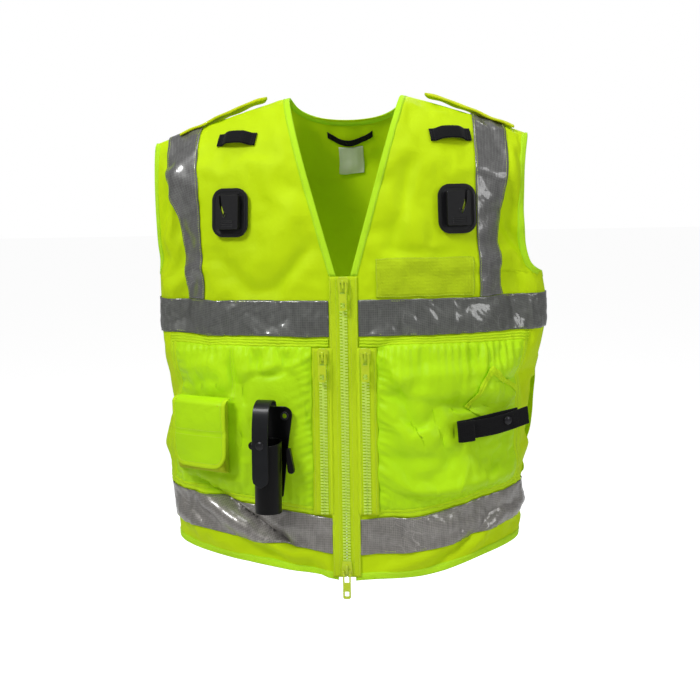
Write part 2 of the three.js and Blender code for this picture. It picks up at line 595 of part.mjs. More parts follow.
// The bands above, outside and below a bag, as one piece.
function pocketBands(hand) {
  const outer = POCKET_OUT_X + BUTT_GAP + POCKET_BAND;
  const whole = band(() => POCKET_TOP_Z, (x) => hemTapeTop(x) + 1, POCKET_ZIP_TAPE_IN, outer);
  const inside = band(() => POCKET_TOP_Z - POCKET_BAND, (x) => hemTapeTop(x) + POCKET_BAND,
    POCKET_IN_X, POCKET_OUT_X + BUTT_GAP);
  const beside = band(() => POCKET_TOP_Z - POCKET_BAND, () => -OUT * 2, 0, POCKET_IN_X + 1, 2);
  return toGeometry(slice(FRONT, TAPE_UNDER, TAPE_UNDER + 1.4, mirrored(hand, whole))
    .subtract(prism(FRONT, mirrored(hand, inside))).subtract(prism(FRONT, mirrored(hand, beside))));
}

function pocketZip(name, hand) {
  const top = POCKET_TOP_Z - POCKET_BAND - 2;
  const frame = zipFrame(hand * POCKET_ZIP_X, top, POCKET_ZIP_LIFT);
  const length = top - hemTapeTop(POCKET_ZIP_X) - 4;
  const slot = ZIP_CHAIN_HALF + 0.3;
  const inner = POCKET_ZIP_X - POCKET_ZIP_TAPE_IN;
  const outer = POCKET_IN_X - POCKET_ZIP_X - 0.9;
  const edges = [-hand * inner, hand * outer].sort((a, b) => a - b);
  const whole = box(...edges, -halfThick, halfThick, -length - 2, 0.6);
  const tape = cut(whole, box(-slot, slot, -2, 2, -length - 0.4, 3));
  add(`pocket_zip_tape_${name}`, tape, 'binding', frame);
  const teeth = joined(teethBar(-1, length), teethBar(1, length),
    box(-ZIP_CHAIN_HALF, ZIP_CHAIN_HALF, -TEETH_THICKNESS / 2, TEETH_THICKNESS / 2, -length, -length + 2.5));
  add(`pocket_teeth_${name}`, teeth, 'zip_plastic', frame);
  addSlider(`pocket_${name}`, frame, SLIDER.length / 2, 1);
}

for (const [name, hand] of HANDS) {
  add(`pocket_bag_${name}`, pocketBag(hand), 'pocket_cloth');
  add(`pocket_bands_${name}`, pocketBands(hand), 'binding');
  pocketZip(name, hand);
}

// ---- Flap pocket on the right pocket ----
// An open-topped pouch, in its own flat frame: X across, Z up, -Y out.
const phoneFrame = frameOn(PHONE.x, PHONE.z, PHONE.lift);
function phonePouch() {
  const w = PHONE.width / 2;
  const h = PHONE.height / 2;
  const shape = new THREE.Shape();
  const face = -PHONE.depth;
  shape.moveTo(-w, 0).lineTo(w, 0).lineTo(w - 2, face + 3).quadraticCurveTo(w - 3, face, w - 7, face);
  shape.lineTo(-w + 7, face).quadraticCurveTo(-w + 3, face, -w + 2, face + 3);
  const solid = { depth: PHONE.height - 6, bevelEnabled: false, curveSegments: 4 };
  const block = new THREE.ExtrudeGeometry(shape, solid);
  const side = w - PHONE.wall - 2;
  const inside = box(-side, side, face + PHONE.wall, -PHONE.wall, -h + PHONE.wall, h);
  return cut(block.translate(0, 0, -h), inside);
}
add('phone_pouch', phonePouch(), 'pocket_cloth', phoneFrame);

// The flap, hinged along its sewn top edge above the pouch.
function flapShape(width, height, corner) {
  const shape = new THREE.Shape();
  const w = width / 2;
  shape.moveTo(-w, 0).lineTo(w, 0).lineTo(w, -height + corner);
  shape.absarc(w - corner, -height + corner, corner, 0, -Math.PI / 2, true);
  shape.lineTo(-w + corner, -height);
  shape.absarc(-w + corner, -height + corner, corner, -Math.PI / 2, -Math.PI, true);
  return shape;
}
const FLAP_TOP = PHONE.height / 2 + 3;
const flapHinge = new THREE.Group();
flapHinge.position.set(0, -1, FLAP_TOP);
phoneFrame.add(flapHinge);
const flapOut = -PHONE.depth - 0.7;
add('phone_flap', joined(
  plate(flapShape(FLAP.width, FLAP.height, FLAP.corner), flapOut - FLAP.thickness, flapOut, 8),
  box(-FLAP.width / 2, FLAP.width / 2, flapOut - FLAP.thickness, 0, 0, FLAP.thickness),
), 'pocket_cloth', flapHinge);
const hookPatch = box(-22, 22, flapOut + 0.3, flapOut + 1, -FLAP.height + 14, -FLAP.height + 34);
add('flap_hook_patch', hookPatch, 'webbing', flapHinge);

// ---- Canister holder on the right pocket ----
const holderFrame = frameOn(HOLDER.x, HOLDER.z, HOLDER.lift);
const PLATE_TOP = HOLDER.plateHeight / 2 + 6;
const PLATE_FOOT = PLATE_TOP - HOLDER.plateHeight;
const eyeletZ = PLATE_TOP - 13;

// The plate behind the cup: wide and round-cornered at the eyelets, narrower below.
function holderPlate() {
  const w = HOLDER.plateWidth / 2;
  const shape = new THREE.Shape();
  shape.moveTo(-15, PLATE_FOOT + 4).quadraticCurveTo(-15, PLATE_FOOT, -10, PLATE_FOOT);
  shape.lineTo(10, PLATE_FOOT).quadraticCurveTo(15, PLATE_FOOT, 15, PLATE_FOOT + 4);
  shape.lineTo(w - 5, PLATE_TOP - 46).lineTo(w, PLATE_TOP - 12);
  shape.absarc(w - 12, PLATE_TOP - 12, 12, 0, Math.PI / 2).lineTo(-w + 12, PLATE_TOP);
  shape.absarc(-w + 12, PLATE_TOP - 12, 12, Math.PI / 2, Math.PI).lineTo(-w + 5, PLATE_TOP - 46);
  [-1, 1].forEach((hand) => shape.holes.push(
    new THREE.Path().absarc(hand * EYELET.spread, eyeletZ, EYELET.hole + 0.6, 0, Math.PI * 2, true)));
  return plate(shape, 0, HOLDER.plate);
}
add('holder_plate', holderPlate(), 'fitting_plastic', holderFrame);

function ringProfile(outer, inner, y0, y1) {
  const profile = [[inner, y0], [outer, y0], [outer, y1], [inner, y1], [inner, y0]];
  return new THREE.LatheGeometry(profile.map(([r, y]) => new THREE.Vector2(r, y)), 20);
}
for (const [name, hand] of [['outer', -1], ['inner', 1]]) {
  const ring = ringProfile(EYELET.radius, EYELET.hole, -EYELET.thickness - 0.3, -0.3);
  add(`holder_eyelet_${name}`, ring.translate(hand * EYELET.spread, 0, eyeletZ), 'metal', holderFrame);
}

// The cup that the canister stands in: open above, with a rim raked down towards the front.
const CUP_TOP = PLATE_TOP - 44;
const CUP_FOOT = CUP_TOP - CUP.length;
const CUP_Y = -CUP.radius - 0.5;
function holderCup() {
  const tube = new THREE.CylinderGeometry(CUP.radius, CUP.radius - 1, CUP.length, 28).rotateX(Math.PI / 2);
  const inner = CUP.radius - CUP.wall;
  const bore = new THREE.CylinderGeometry(inner, inner - 1, CUP.length, 28).rotateX(Math.PI / 2);
  const rake = new THREE.BoxGeometry(80, 80, 30).rotateX(Math.atan(CUP.rimRake / (CUP.radius * 2)));
  const lug = new THREE.SphereGeometry(6, 14, 10).scale(1, 0.8, 1);
  lug.translate(-CUP.radius - 3, 0, CUP.length / 2 - 9);
  const outer = joined(tube, lug);
  return cut(outer, bore.translate(0, 0, CUP.floor), rake.translate(0, -6, CUP.length / 2 + 12))
    .translate(0, CUP_Y, (CUP_TOP + CUP_FOOT) / 2);
}
add('holder_cup', holderCup(), 'fitting_plastic', holderFrame);

// A flat spring arm beside the cup, which grips the canister.
function sideArm() {
  const shape = new THREE.Shape();
  shape.moveTo(22, PLATE_TOP - 58).lineTo(28, PLATE_TOP - 56).lineTo(34, PLATE_TOP - 86);
  shape.quadraticCurveTo(34.5, PLATE_TOP - 92, 29.5, PLATE_TOP - 92);
  shape.quadraticCurveTo(25, PLATE_TOP - 92, 24.6, PLATE_TOP - 87);
  return plate(shape, -11, -4);
}
add('holder_side_arm', sideArm(), 'fitting_plastic', holderFrame);

// The strap over the canister, hinged where it is riveted behind the plate's top edge.
const STRAP_OUT = CUP_Y - CUP.radius - 1.2;
const strapHinge = new THREE.Group();
strapHinge.position.set(-4, -2.6, PLATE_TOP + 1.2);
holderFrame.add(strapHinge);
function strapPath() {
  const reach = STRAP_OUT + 2.6 - HOLDER_STRAP.thickness / 2;
  return new THREE.CatmullRomCurve3([
    new THREE.Vector3(0, 0, 0), new THREE.Vector3(0, -5, 6.5), new THREE.Vector3(0, -17, 8.5),
    new THREE.Vector3(0, -31, 1), new THREE.Vector3(0, reach + 1.5, -22), new THREE.Vector3(0, reach, -50),
    new THREE.Vector3(0, reach, -HOLDER_STRAP.drop),
  ], false, 'centripetal');
}
// A strip that follows a path in the plane x = 0, as a closed solid with a round tail.
function strip(path, width, thickness, steps, tail = 0) {
  const rows = columns(steps).map((t) => {
    const p = path.getPointAt(t);
    const along = path.getTangentAt(t);
    const out = new THREE.Vector3(0, along.z, -along.y).multiplyScalar(thickness / 2);
    const left = (1 - t) * path.getLength();
    const rounded = Math.sqrt(Math.max(tail ** 2 - Math.max(tail - left, 0) ** 2, 4));
    const half = left < tail ? (rounded * width) / 2 / tail : width / 2;
    const faces = [p.clone().add(out), p.clone().sub(out)];
    return faces.map((q) => [-half, half].map((x) => new THREE.Vector3(x, q.y, q.z)));
  });
  const triangles = [];
  const quad = (a, b, c, d) => [a, b, c, a, c, d].forEach((p) => triangles.push(p.x, p.y, p.z));
  rows.slice(1).forEach((row, i) => {
    const before = rows[i];
    quad(before[0][0], before[0][1], row[0][1], row[0][0]);
    quad(before[1][1], before[1][0], row[1][0], row[1][1]);
    quad(before[0][1], before[1][1], row[1][1], row[0][1]);
    quad(before[1][0], before[0][0], row[0][0], row[1][0]);
  });
  const [first, last] = [rows[0], rows[rows.length - 1]];
  quad(first[0][1], first[0][0], first[1][0], first[1][1]);
  quad(last[0][0], last[0][1], last[1][1], last[1][0]);
  const made = closed(triangles);
  return toSolidVolume(made) < 0 ? closed(turnedRound(triangles)) : made;
}
const toSolidVolume = (geometry) => toSolid(geometry).volume();
const overStrap = strip(strapPath(), HOLDER_STRAP.width, HOLDER_STRAP.thickness, 26, HOLDER_STRAP.width / 2);
add('holder_strap', overStrap, 'leather', strapHinge);

function domedCap(radius, height) {
  const points = [new THREE.Vector2(0, 0), new THREE.Vector2(radius, 0)];
  columns(6).slice(1).forEach((t) => points.push(
    new THREE.Vector2(radius * Math.cos((t * Math.PI) / 2), height * Math.sin((t * Math.PI) / 2))));
  points[points.length - 1].x = 0;
  return new THREE.LatheGeometry(points, 18).rotateX(Math.PI);
}
const strapFace = STRAP_OUT + 2.6 - HOLDER_STRAP.thickness - 0.3;
add('holder_snap_cap', domedCap(SNAP_RADIUS, 2).translate(0, strapFace, -50), 'metal', strapHinge);

// ---- Snap strap and diamond patch on the left pocket ----
function diamondPatch() {
  const { x, z, half, turn } = DIAMOND;
  const corners = [0, 1, 2, 3].map((k) => {
    const angle = THREE.MathUtils.degToRad(turn) + (k * Math.PI) / 2;
    return [x + half * Math.cos(angle) * 0.92, z + half * Math.sin(angle)];
  });
  const under = (p) => TAPE_UNDER + CLOTH + LAYER_GAP + pocketPuff(p);
  return toGeometry(slice(FRONT, under, (p) => under(p) + DIAMOND.thickness, corners));
}
add('diamond_patch', diamondPatch(), 'pocket_cloth');

const strapSlope = Math.atan(SNAP_STRAP_RISE / SNAP_STRAP.length);
const strapFrame = frameOn(SNAP_STRAP.x, SNAP_STRAP.z, SNAP_STRAP.lift, -strapSlope);
const snapHalf = SNAP_STRAP.length / 2;
const LAYERS_APART = 4.6;
add('snap_strap_base', box(-snapHalf + 6, snapHalf - 14, 0, SNAP_STRAP.thickness,
  -SNAP_STRAP.width / 2, SNAP_STRAP.width / 2), 'webbing', strapFrame);
add('snap_stud', domedCap(SNAP_RADIUS - 1.5, 2).translate(20, -0.3, 0), 'metal', strapFrame);

// The strap's free layer folds round at the inner end, which is where it hinges.
const snapHinge = new THREE.Group();
snapHinge.position.set(-snapHalf + 4.4, SNAP_STRAP.thickness / 2, 0);
strapFrame.add(snapHinge);
function freeLayer() {
  const length = SNAP_STRAP.length - 5;
  const t = SNAP_STRAP.thickness;
  const strap = new THREE.Shape();
  const outer = LAYERS_APART + t;
  strap.moveTo(0, 0.8).quadraticCurveTo(-4.4, 0.8, -4.4, -outer / 2);
  strap.quadraticCurveTo(-4.4, -outer, 1, -outer);
  strap.lineTo(length * 0.45, -outer - 1.5).lineTo(length, -outer);
  strap.lineTo(length, -outer + t).lineTo(length * 0.45, -outer - 1.5 + t);
  strap.lineTo(1, -outer + t).quadraticCurveTo(-4.4 + t, -outer + t, -4.4 + t, -outer / 2);
  strap.quadraticCurveTo(-4.4 + t, 0.8 - t, 0, 0.8 - t);
  const solid = { depth: SNAP_STRAP.width, bevelEnabled: false, curveSegments: 5 };
  return new THREE.ExtrudeGeometry(strap, solid).translate(0, 0, -SNAP_STRAP.width / 2);
}
add('snap_strap_free', freeLayer(), 'webbing', snapHinge);
const capSeat = -LAYERS_APART - SNAP_STRAP.thickness - 3.1;
add('snap_cap', domedCap(SNAP_RADIUS, 2.4).translate(20 + snapHalf - 4.4, capSeat, 0), 'metal', snapHinge);

// ---- Radio docks on the chest ----
function dockFlange() {
  const outline = roundedOutline(DOCK.width, DOCK.height, DOCK.corner);
  const window = roundedOutline(RECEIVER.width - 12, RECEIVER.height - 16, 3);
  outline.holes.push(new THREE.Path(window.getPoints(3)));
  const rim = roundedOutline(DOCK.width - 5, DOCK.height - 5, DOCK.corner - 2.5);
  const within = roundedOutline(DOCK.width - 9, DOCK.height - 9, DOCK.corner - 4.5);
  rim.holes.push(new THREE.Path(within.getPoints(6)));
  return joined(plate(outline, -DOCK.flange, 0), plate(rim, -DOCK.flange - 0.7, -DOCK.flange + 0.3));
}

// The raised receiver: a face plate on a wall round three sides, open at the top for the tongue.
function dockReceiver(hand) {
  const seat = -DOCK.flange - 0.3;
  const face = seat - RECEIVER.channel - RECEIVER.plate;
  const w = RECEIVER.width / 2;
  const h = RECEIVER.height / 2;
  const block = plate(roundedOutline(RECEIVER.width, RECEIVER.height, 2), face, seat, 3);
  const side = w - RECEIVER.wall;
  const channel = box(-side, side, face + RECEIVER.plate, seat + 1, -h + RECEIVER.wall + 2, h + 1);
  const slit = new THREE.Shape();
  const s = RECEIVER.slit / 2;
  slit.moveTo(hand * (11 + s), h + 1).lineTo(hand * (9.4 + s), 8).lineTo(hand * (3.6 + s), -6.8);
  slit.lineTo(hand * (3.6 - s), -5.6).lineTo(hand * (9.4 - s), 9).lineTo(hand * (11 - s), h + 1);
  const tool = plate(slit, face - 1, face + RECEIVER.plate + 1);
  return cut(block, channel, tool);
}
for (const [name, hand] of HANDS) {
  const frame = frameOn(hand * DOCK.x, DOCK.z, CLOTH + 3.4);
  add(`dock_flange_${name}`, dockFlange(), 'fitting_plastic', frame);
  add(`dock_receiver_${name}`, dockReceiver(hand), 'fitting_plastic', frame);
}

// ---- Chest loops, badge panel ----
// A loop bowed off the chest between its sewn ends, in its own flat frame.
function chestLoop() {
  const half = CHEST_LOOP.length / 2;
  const t = CHEST_LOOP.thickness;
  const bow = CHEST_LOOP.gap;
  const rise = [[-half, 0], [9 - half, 0.3], [15 - half, bow]];
  const outer = [...rise, ...mirrored(-1, rise).reverse()];
  const lowered = outer.map(([x, y]) => [x, y + t]).reverse();
  const shape = new THREE.Shape([...outer, ...lowered].map(([x, y]) => new THREE.Vector2(x, y)));
  const made = new THREE.ExtrudeGeometry(shape, { depth: CHEST_LOOP.width, bevelEnabled: false });
  return made.translate(0, 0, -CHEST_LOOP.width / 2).applyMatrix4(new THREE.Matrix4().makeScale(-1, -1, 1));
}
for (const [name, hand] of HANDS) {
  const seat = frameOn(hand * CHEST_LOOP.x, CHEST_LOOP.z, CHEST_LOOP.lift);
  add(`chest_loop_${name}`, chestLoop(), 'webbing', seat);
}

const badge = band(() => BADGE.z1, () => BADGE.z0, BADGE.x0, BADGE.x1, 2);
add('badge_panel', toGeometry(slice(FRONT, TAPE_UNDER, TAPE_UNDER + BADGE.thickness, badge)), 'binding');

// ---- Epaulettes ----
// A strap along the shoulder, sewn at the tip and raised towards the neck.
function epaulette(hand) {
  const rows = columns(9).map((u) => {
    const x = mix(EPAULETTE.x1, EPAULETTE.x0, u);
    const half = EPAULETTE.half * (u > 0.9 ? 0.72 : 1 - 0.12 * u);
    const lift = EPAULETTE.lift + EPAULETTE.raise * smooth(u * 1.15);
    return columns(5).map((v) => {
      const t = mix(-1, 1, v);
      return new THREE.Vector3(hand * x, SHOULDER_Y + half * t, shoulderZ(x) + lift - 3.2 * t ** 2 - 1);
    });
  });
  const hinge = new THREE.Vector3(hand * EPAULETTE.x1, SHOULDER_Y, shoulderZ(EPAULETTE.x1) + EPAULETTE.lift);
  const group = new THREE.Group();
  group.position.copy(hinge);
  vest.add(group);
  return [sheet(rows, 0, EPAULETTE.thickness).translate(-hinge.x, -hinge.y, -hinge.z), group];
}
for (const [name, hand] of HANDS) {
  const [geometry, group] = epaulette(hand);
  add(`epaulette_${name}`, geometry, 'pocket_cloth', group);
}

// ---- Inside the neck: hanging loop ----
// A cord-like ribbon whose ends are sewn behind the nape binding.
function hangerLoop() {
  const sag = (x) => HANGER.sag * Math.cos((Math.PI * x) / (2 * HANGER.half));
  const top = (x) => -BACK_NECK_SCOOP - BINDING_WIDTH - 4 - sag(x);
  const outline = band(top, (x) => top(x) - HANGER.width, -HANGER.half, HANGER.half);
  return toGeometry(slice(BACK, -LAYER_GAP - HANGER.thickness, -LAYER_GAP, outline));
}
add('hanger_loop', hangerLoop(), 'webbing');

export default vest;
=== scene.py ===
import json
import math

import bmesh
import bpy
import numpy as np
from mathutils import Matrix, Vector


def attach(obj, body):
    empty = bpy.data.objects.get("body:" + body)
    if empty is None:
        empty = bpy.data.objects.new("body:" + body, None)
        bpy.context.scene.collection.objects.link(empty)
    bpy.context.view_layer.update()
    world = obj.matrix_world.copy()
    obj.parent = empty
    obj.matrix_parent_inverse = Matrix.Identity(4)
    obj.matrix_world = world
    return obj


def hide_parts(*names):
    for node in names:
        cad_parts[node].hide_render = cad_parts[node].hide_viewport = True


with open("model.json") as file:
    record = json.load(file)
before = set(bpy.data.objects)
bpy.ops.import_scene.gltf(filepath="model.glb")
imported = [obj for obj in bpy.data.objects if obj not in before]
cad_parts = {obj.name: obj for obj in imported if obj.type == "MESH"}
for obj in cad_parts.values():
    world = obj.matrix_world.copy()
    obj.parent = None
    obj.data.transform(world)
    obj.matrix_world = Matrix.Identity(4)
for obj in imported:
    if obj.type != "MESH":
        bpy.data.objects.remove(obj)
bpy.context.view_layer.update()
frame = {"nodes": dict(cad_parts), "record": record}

# ======== The shape of the vest as worn ========
# Every cloth piece lies on one surface: an oval chest that rolls over into the shoulders. It is given
# by a turn from the middle (a quarter turn at the side seam) and a run down from the shoulder line.
FRONT, BACK = -1, 1
CHEST_HALF, HEM_HALF, TAPER_FROM = 282.0, 258.0, -335.0
FRONT_DEPTH, FRONT_DEPTH_NECK, FRONT_LEAN, BACK_DEPTH = 117.0, 96.0, 0.063, 102.0
NECK_HALF, TIP_HALF, SHOULDER_DROP, NAPE_SCOOP = 80.0, 262.0, 58.0, 28.0
SEAM_Y, SHOULDER_ROLL, SEAM_GAP = 6.0, 118.0, 1.2
ZIP_TOP, UNDERARM = -253.0, -255.0
SIDE_HEM, HEM_DIP = -650.0, 28.0
QUARTER = math.pi / 2


def smooth(t):
    t = np.clip(t, 0, 1)
    return t * t * (3 - 2 * t)


def mix(a, b, t):
    return a + (b - a) * t


def bump(value, middle, width):
    return np.exp(-(((value - middle) / width) ** 2))


def half_width(z):
    return mix(CHEST_HALF, HEM_HALF, smooth((TAPER_FROM - z) / (TAPER_FROM - SIDE_HEM)))


def shoulder_z(x):
    return -SHOULDER_DROP * np.maximum((np.abs(x) - NECK_HALF) / (TIP_HALF - NECK_HALF), 0) ** 1.15


def hem_z(side, x):
    share = np.clip(1 - np.abs(x) / HEM_HALF, 0, 1)
    return SIDE_HEM - (HEM_DIP * share**1.5 if side == FRONT else 0 * share)


def run_of(drop):
    """The run down the cloth from the shoulder line to a drop below it."""
    rolled = SHOULDER_ROLL * np.arccos(np.clip(1 - drop / SHOULDER_ROLL, -1, 1))
    return np.where(drop < SHOULDER_ROLL, rolled, drop + SHOULDER_ROLL * (QUARTER - 1))


def drop_of(run):
    rolled = SHOULDER_ROLL * (1 - np.cos(np.clip(run / SHOULDER_ROLL, 0, QUARTER)))
    return np.where(run < SHOULDER_ROLL * QUARTER, rolled, run - SHOULDER_ROLL * (QUARTER - 1))


def place_of(x, z):
    """The turn and run of a place given by its X and Z."""
    x, z = np.asarray(x, float), np.asarray(z, float)
    turn = np.arcsin(np.clip(x / half_width(z), -1, 1))
    return turn, run_of(np.maximum(shoulder_z(CHEST_HALF * np.sin(turn)) - z, 0))


def smooth_body(side, turn, run):
    z = shoulder_z(CHEST_HALF * np.sin(turn)) - drop_of(run)
    x = half_width(z) * np.sin(turn)
    if side == BACK:
        depth = BACK_DEPTH + 0 * z
        fold = 0 * z
    else:
        chest = mix(FRONT_DEPTH, FRONT_DEPTH_NECK, smooth((z - ZIP_TOP) / -ZIP_TOP))
        depth = np.where(z > ZIP_TOP, chest, FRONT_DEPTH + FRONT_LEAN * (ZIP_TOP - z))
        beside = bump(np.abs(np.sin(turn)), 0.82, 0.1)
        fold = 0.17 * smooth((z + 370) / 60) * smooth((-110 - z) / 60) * beside
    share = np.maximum(np.cos(turn) - fold, 0)
    roll = np.sin(np.clip(run / SHOULDER_ROLL, 0, QUARTER))
    y = SEAM_Y + side * (SEAM_GAP / 2 + depth * share * roll)
    return np.stack([x, y, z], -1)


def normals_of(surface, side, turn, run):
    """Outward normals of a surface given as a function of side, turn and run."""
    t, r = 0.004, 1.2
    across = surface(side, turn + t, run) - surface(side, turn - t, run)
    down = surface(side, turn, run + r) - surface(side, turn, np.maximum(run - r, 0))
    n = side * np.cross(across, down)
    return n / np.maximum(np.linalg.norm(n, axis=-1, keepdims=True), 1e-9)


# The vest doesn't hang evenly: its right side bellies out over the hip and its left side draws in.
WAVE_Z = [-700, -618, -558, -506, -446, -400, -364, -325, -285, -250, -160, -60, 0]
RIGHT_WAVE = [8, 8, 12, 9, -7, -7, -3, 0, 0, 0, 6, 10, 10]
LEFT_WAVE = [-8, -9, -10, -11, -11, -9, 0, 7, 6, 0, 0, 0, 0]


def side_wave(turn, z):
    near_side = smooth((np.abs(np.sin(turn)) - 0.5) / 0.5)
    right = -np.interp(z, WAVE_Z, RIGHT_WAVE)
    left = np.interp(z, WAVE_Z, LEFT_WAVE)
    return near_side * np.where(turn < 0, right, left)


def crease(x, z, start, end, width, rise):
    """A soft ridge or valley along a line between two places, in X and Z."""
    a, b = np.array(start, float), np.array(end, float)
    along = (b - a) / np.linalg.norm(b - a)
    px, pz = x - a[0], z - a[1]
    s = px * along[0] + pz * along[1]
    off = -px * along[1] + pz * along[0]
    length = np.linalg.norm(b - a)
    ends = smooth((s + 18) / 36) * smooth((length + 18 - s) / 36)
    return rise * np.exp(-((off / width) ** 2)) * ends


FRONT_CREASES = [
    ((-212, -545), (-78, -630), 8, -12.0), ((-205, -572), (-66, -652), 15, 11.0),
    ((-120, -640), (-26, -672), 11, -9.0), ((-250, -600), (-150, -640), 18, 6.0),
    ((-60, -150), (-130, -262), 20, 5.5), ((-40, -205), (-100, -275), 13, -5.0),
    ((-190, -215), (-120, -275), 16, -3.5), ((-228, -95), (-262, -215), 11, 6.0),
    ((-246, -120), (-272, -240), 8, -6.0), ((-215, -235), (-262, -278), 12, 5.0),
    ((60, -140), (120, -225), 22, 5.0), ((95, -95), (70, -210), 14, -4.2),
    ((60, -215), (150, -225), 12, -3.0), ((232, -85), (252, -200), 10, 5.5),
    ((226, -180), (268, -262), 10, -5.0), ((255, -330), (268, -430), 10, -5.0),
    ((60, -655), (120, -632), 9, 5.0), ((120, -650), (190, -612), 8, -5.0),
    ((170, -640), (225, -600), 10, 5.5), ((-250, -425), (-268, -520), 12, 6.0),
    ((30, -345), (60, -330), 10, 3.0),
]
BACK_CREASES = [
    ((-150, -120), (-60, -230), 26, 3.0), ((140, -110), (50, -235), 26, 3.0),
    ((-225, -240), (-120, -150), 18, -3.0), ((225, -240), (125, -150), 18, -3.0),
    ((-200, -380), (-60, -470), 24, 4.0), ((210, -400), (40, -520), 26, 4.0),
    ((-30, -360), (20, -560), 30, -4.0), ((-235, -470), (-120, -560), 18, 3.5),
    ((235, -500), (130, -585), 18, -3.5), ((-90, -520), (-150, -640), 20, 3.5),
    ((90, -530), (160, -645), 20, 3.5),
]
# Where fittings or sewn edges hold the cloth flat: middle X, middle Z, half width, half height.
ON_BAG = {-1: [(-98, -484, 33, 86), (-196, -476, 42, 54)], 1: [(203, -461, 54, 14)]}
HELD_FLAT = [(-157, -163, 33, 40), (157, -163, 33, 40), (-150, -60, 34, 18), (150, -60, 34, 18),
             (0, -460, 24, 260), *ON_BAG[-1], *ON_BAG[1]]


def loosened(x, z, zones, margin, firmness):
    """How free the cloth is: 1 away from the zones, less inside them."""
    free = np.ones_like(x)
    for cx, cz, w, h in zones:
        along_x = smooth((w + margin - np.abs(x - cx)) / margin)
        along_z = smooth((h + margin - np.abs(z - cz)) / margin)
        free = free * (1 - firmness * along_x * along_z)
    return free


def freedom(side, x, z):
    return loosened(x, z, HELD_FLAT if side == FRONT else [], 14, 1.0)


def drape(side, turn, run):
    """The worn surface with its broad folds and uneven sides."""
    p = smooth_body(side, turn, run)
    x, z = p[..., 0], p[..., 2]
    lift = sum(crease(x, z, *c) for c in (FRONT_CREASES if side == FRONT else BACK_CREASES))
    lift = lift * (1.1 if side == FRONT else 1.9)
    lift = lift * freedom(side, x, z) * smooth((QUARTER - np.abs(turn)) / 0.12)
    out = p + normals_of(smooth_body, side, turn, run) * lift[..., None]
    out[..., 0] += side_wave(turn, z)
    if side == FRONT:
        out[..., 2] -= 12 * bump(x, 112, 72) * smooth((-470 - z) / 130)
    return out


# ======== How the cloth settles ========
# The shell is a light woven polyester. Sewn seams hold its edges, and between them the slack cloth
# buckles, so each side is let go as a cloth held along its seams and what it does is kept.
FIELD_TURNS, FIELD_RUNS, FIELD_STEP = 113, 121, 6.6
CLOTH_FRAMES = 14


def placed(name, data):
    obj = bpy.data.objects.new(name, data)
    bpy.context.scene.collection.objects.link(obj)
    return obj


def lengths_along(points):
    """The distance along a line at each of its points."""
    return np.concatenate([[0], np.cumsum(np.linalg.norm(np.diff(points, axis=0), axis=-1))])


def grid_object(name, grid, flip=False):
    rows, cols = grid.shape[:2]
    verts = (grid.reshape(-1, 3) * 0.001).tolist()
    index = np.arange(rows * cols).reshape(rows, cols)
    quads = np.stack([index[:-1, :-1], index[1:, :-1], index[1:, 1:], index[:-1, 1:]], -1).reshape(-1, 4)
    if flip:
        quads = quads[:, ::-1]
    mesh = bpy.data.meshes.new(name)
    mesh.from_pydata(verts, [], quads.tolist())
    return placed(name, mesh)


def let_go(grid, held, slack, pressure, weight, most, bending=0.12, soften=1):
    """How far each point of a grid of cloth moves, in millimetres, when only its held points are fixed."""
    obj = grid_object("settling", grid)
    group = obj.vertex_groups.new(name="held")
    flat = held.reshape(-1)
    for level in np.unique(np.round(flat, 2)):
        if level > 0:
            group.add(np.nonzero(np.round(flat, 2) == level)[0].tolist(), float(level), "REPLACE")
    cloth = obj.modifiers.new("cloth", "CLOTH")
    cloth.settings.vertex_group_mass = "held"
    cloth.settings.shrink_min = -slack
    cloth.settings.mass = 0.15
    cloth.settings.tension_stiffness = 12
    cloth.settings.compression_stiffness = 12
    cloth.settings.shear_stiffness = 4
    cloth.settings.bending_stiffness = bending
    cloth.settings.quality = 6
    cloth.settings.air_damping = 4
    cloth.settings.use_pressure = pressure != 0
    cloth.settings.uniform_pressure_force = pressure
    cloth.settings.effector_weights.gravity = weight
    cloth.collision_settings.use_collision = False
    scene = bpy.context.scene
    for f in range(1, CLOTH_FRAMES + 1):
        scene.frame_set(f)
    settled = obj.evaluated_get(bpy.context.evaluated_depsgraph_get())
    coords = np.empty(len(obj.data.vertices) * 3)
    settled.data.vertices.foreach_get("co", coords)
    scene.frame_set(1)
    moved = coords.reshape(grid.shape) * 1000 - grid
    bpy.data.objects.remove(obj, do_unlink=True)
    for _ in range(soften):
        inner = moved[1:-1, 1:-1]
        around = moved[:-2, 1:-1] + moved[2:, 1:-1] + moved[1:-1, :-2] + moved[1:-1, 2:]
        moved[1:-1, 1:-1] = 0.4 * inner + 0.15 * around
    length = np.linalg.norm(moved, axis=-1, keepdims=True)
    return moved * np.minimum(1, most / np.maximum(length, 1e-6))


def armhole_edge(side, share, hand):
    """The armhole's edge from the side seam to the shoulder, as X and Z. The right one hangs wider."""
    share = np.asarray(share, float)[..., None]
    if hand < 0:
        middle, tip = (277, 271) if side == FRONT else (272, 268), 271.0
    else:
        middle, tip = (246, 246) if side == FRONT else (252, 248), TIP_HALF
    ends = np.array([[CHEST_HALF, UNDERARM], [middle[0], UNDERARM + 12],
                     [middle[1], -SHOULDER_DROP - 75], [tip, float(shoulder_z(tip))]])
    return ((1 - share) ** 3 * ends[0] + 3 * share * (1 - share) ** 2 * ends[1]
            + 3 * share**2 * (1 - share) * ends[2] + share**3 * ends[3])


def neck_edge(share):
    """The V neck's edge from the zip to the shoulder, as X and Z."""
    share = np.asarray(share, float)
    x = mix(10.0, NECK_HALF, np.interp(share, [0, 0.456, 1], [0, 0.46, 1]))
    return np.stack([x, mix(ZIP_TOP + 1, 0.0, share)], -1)


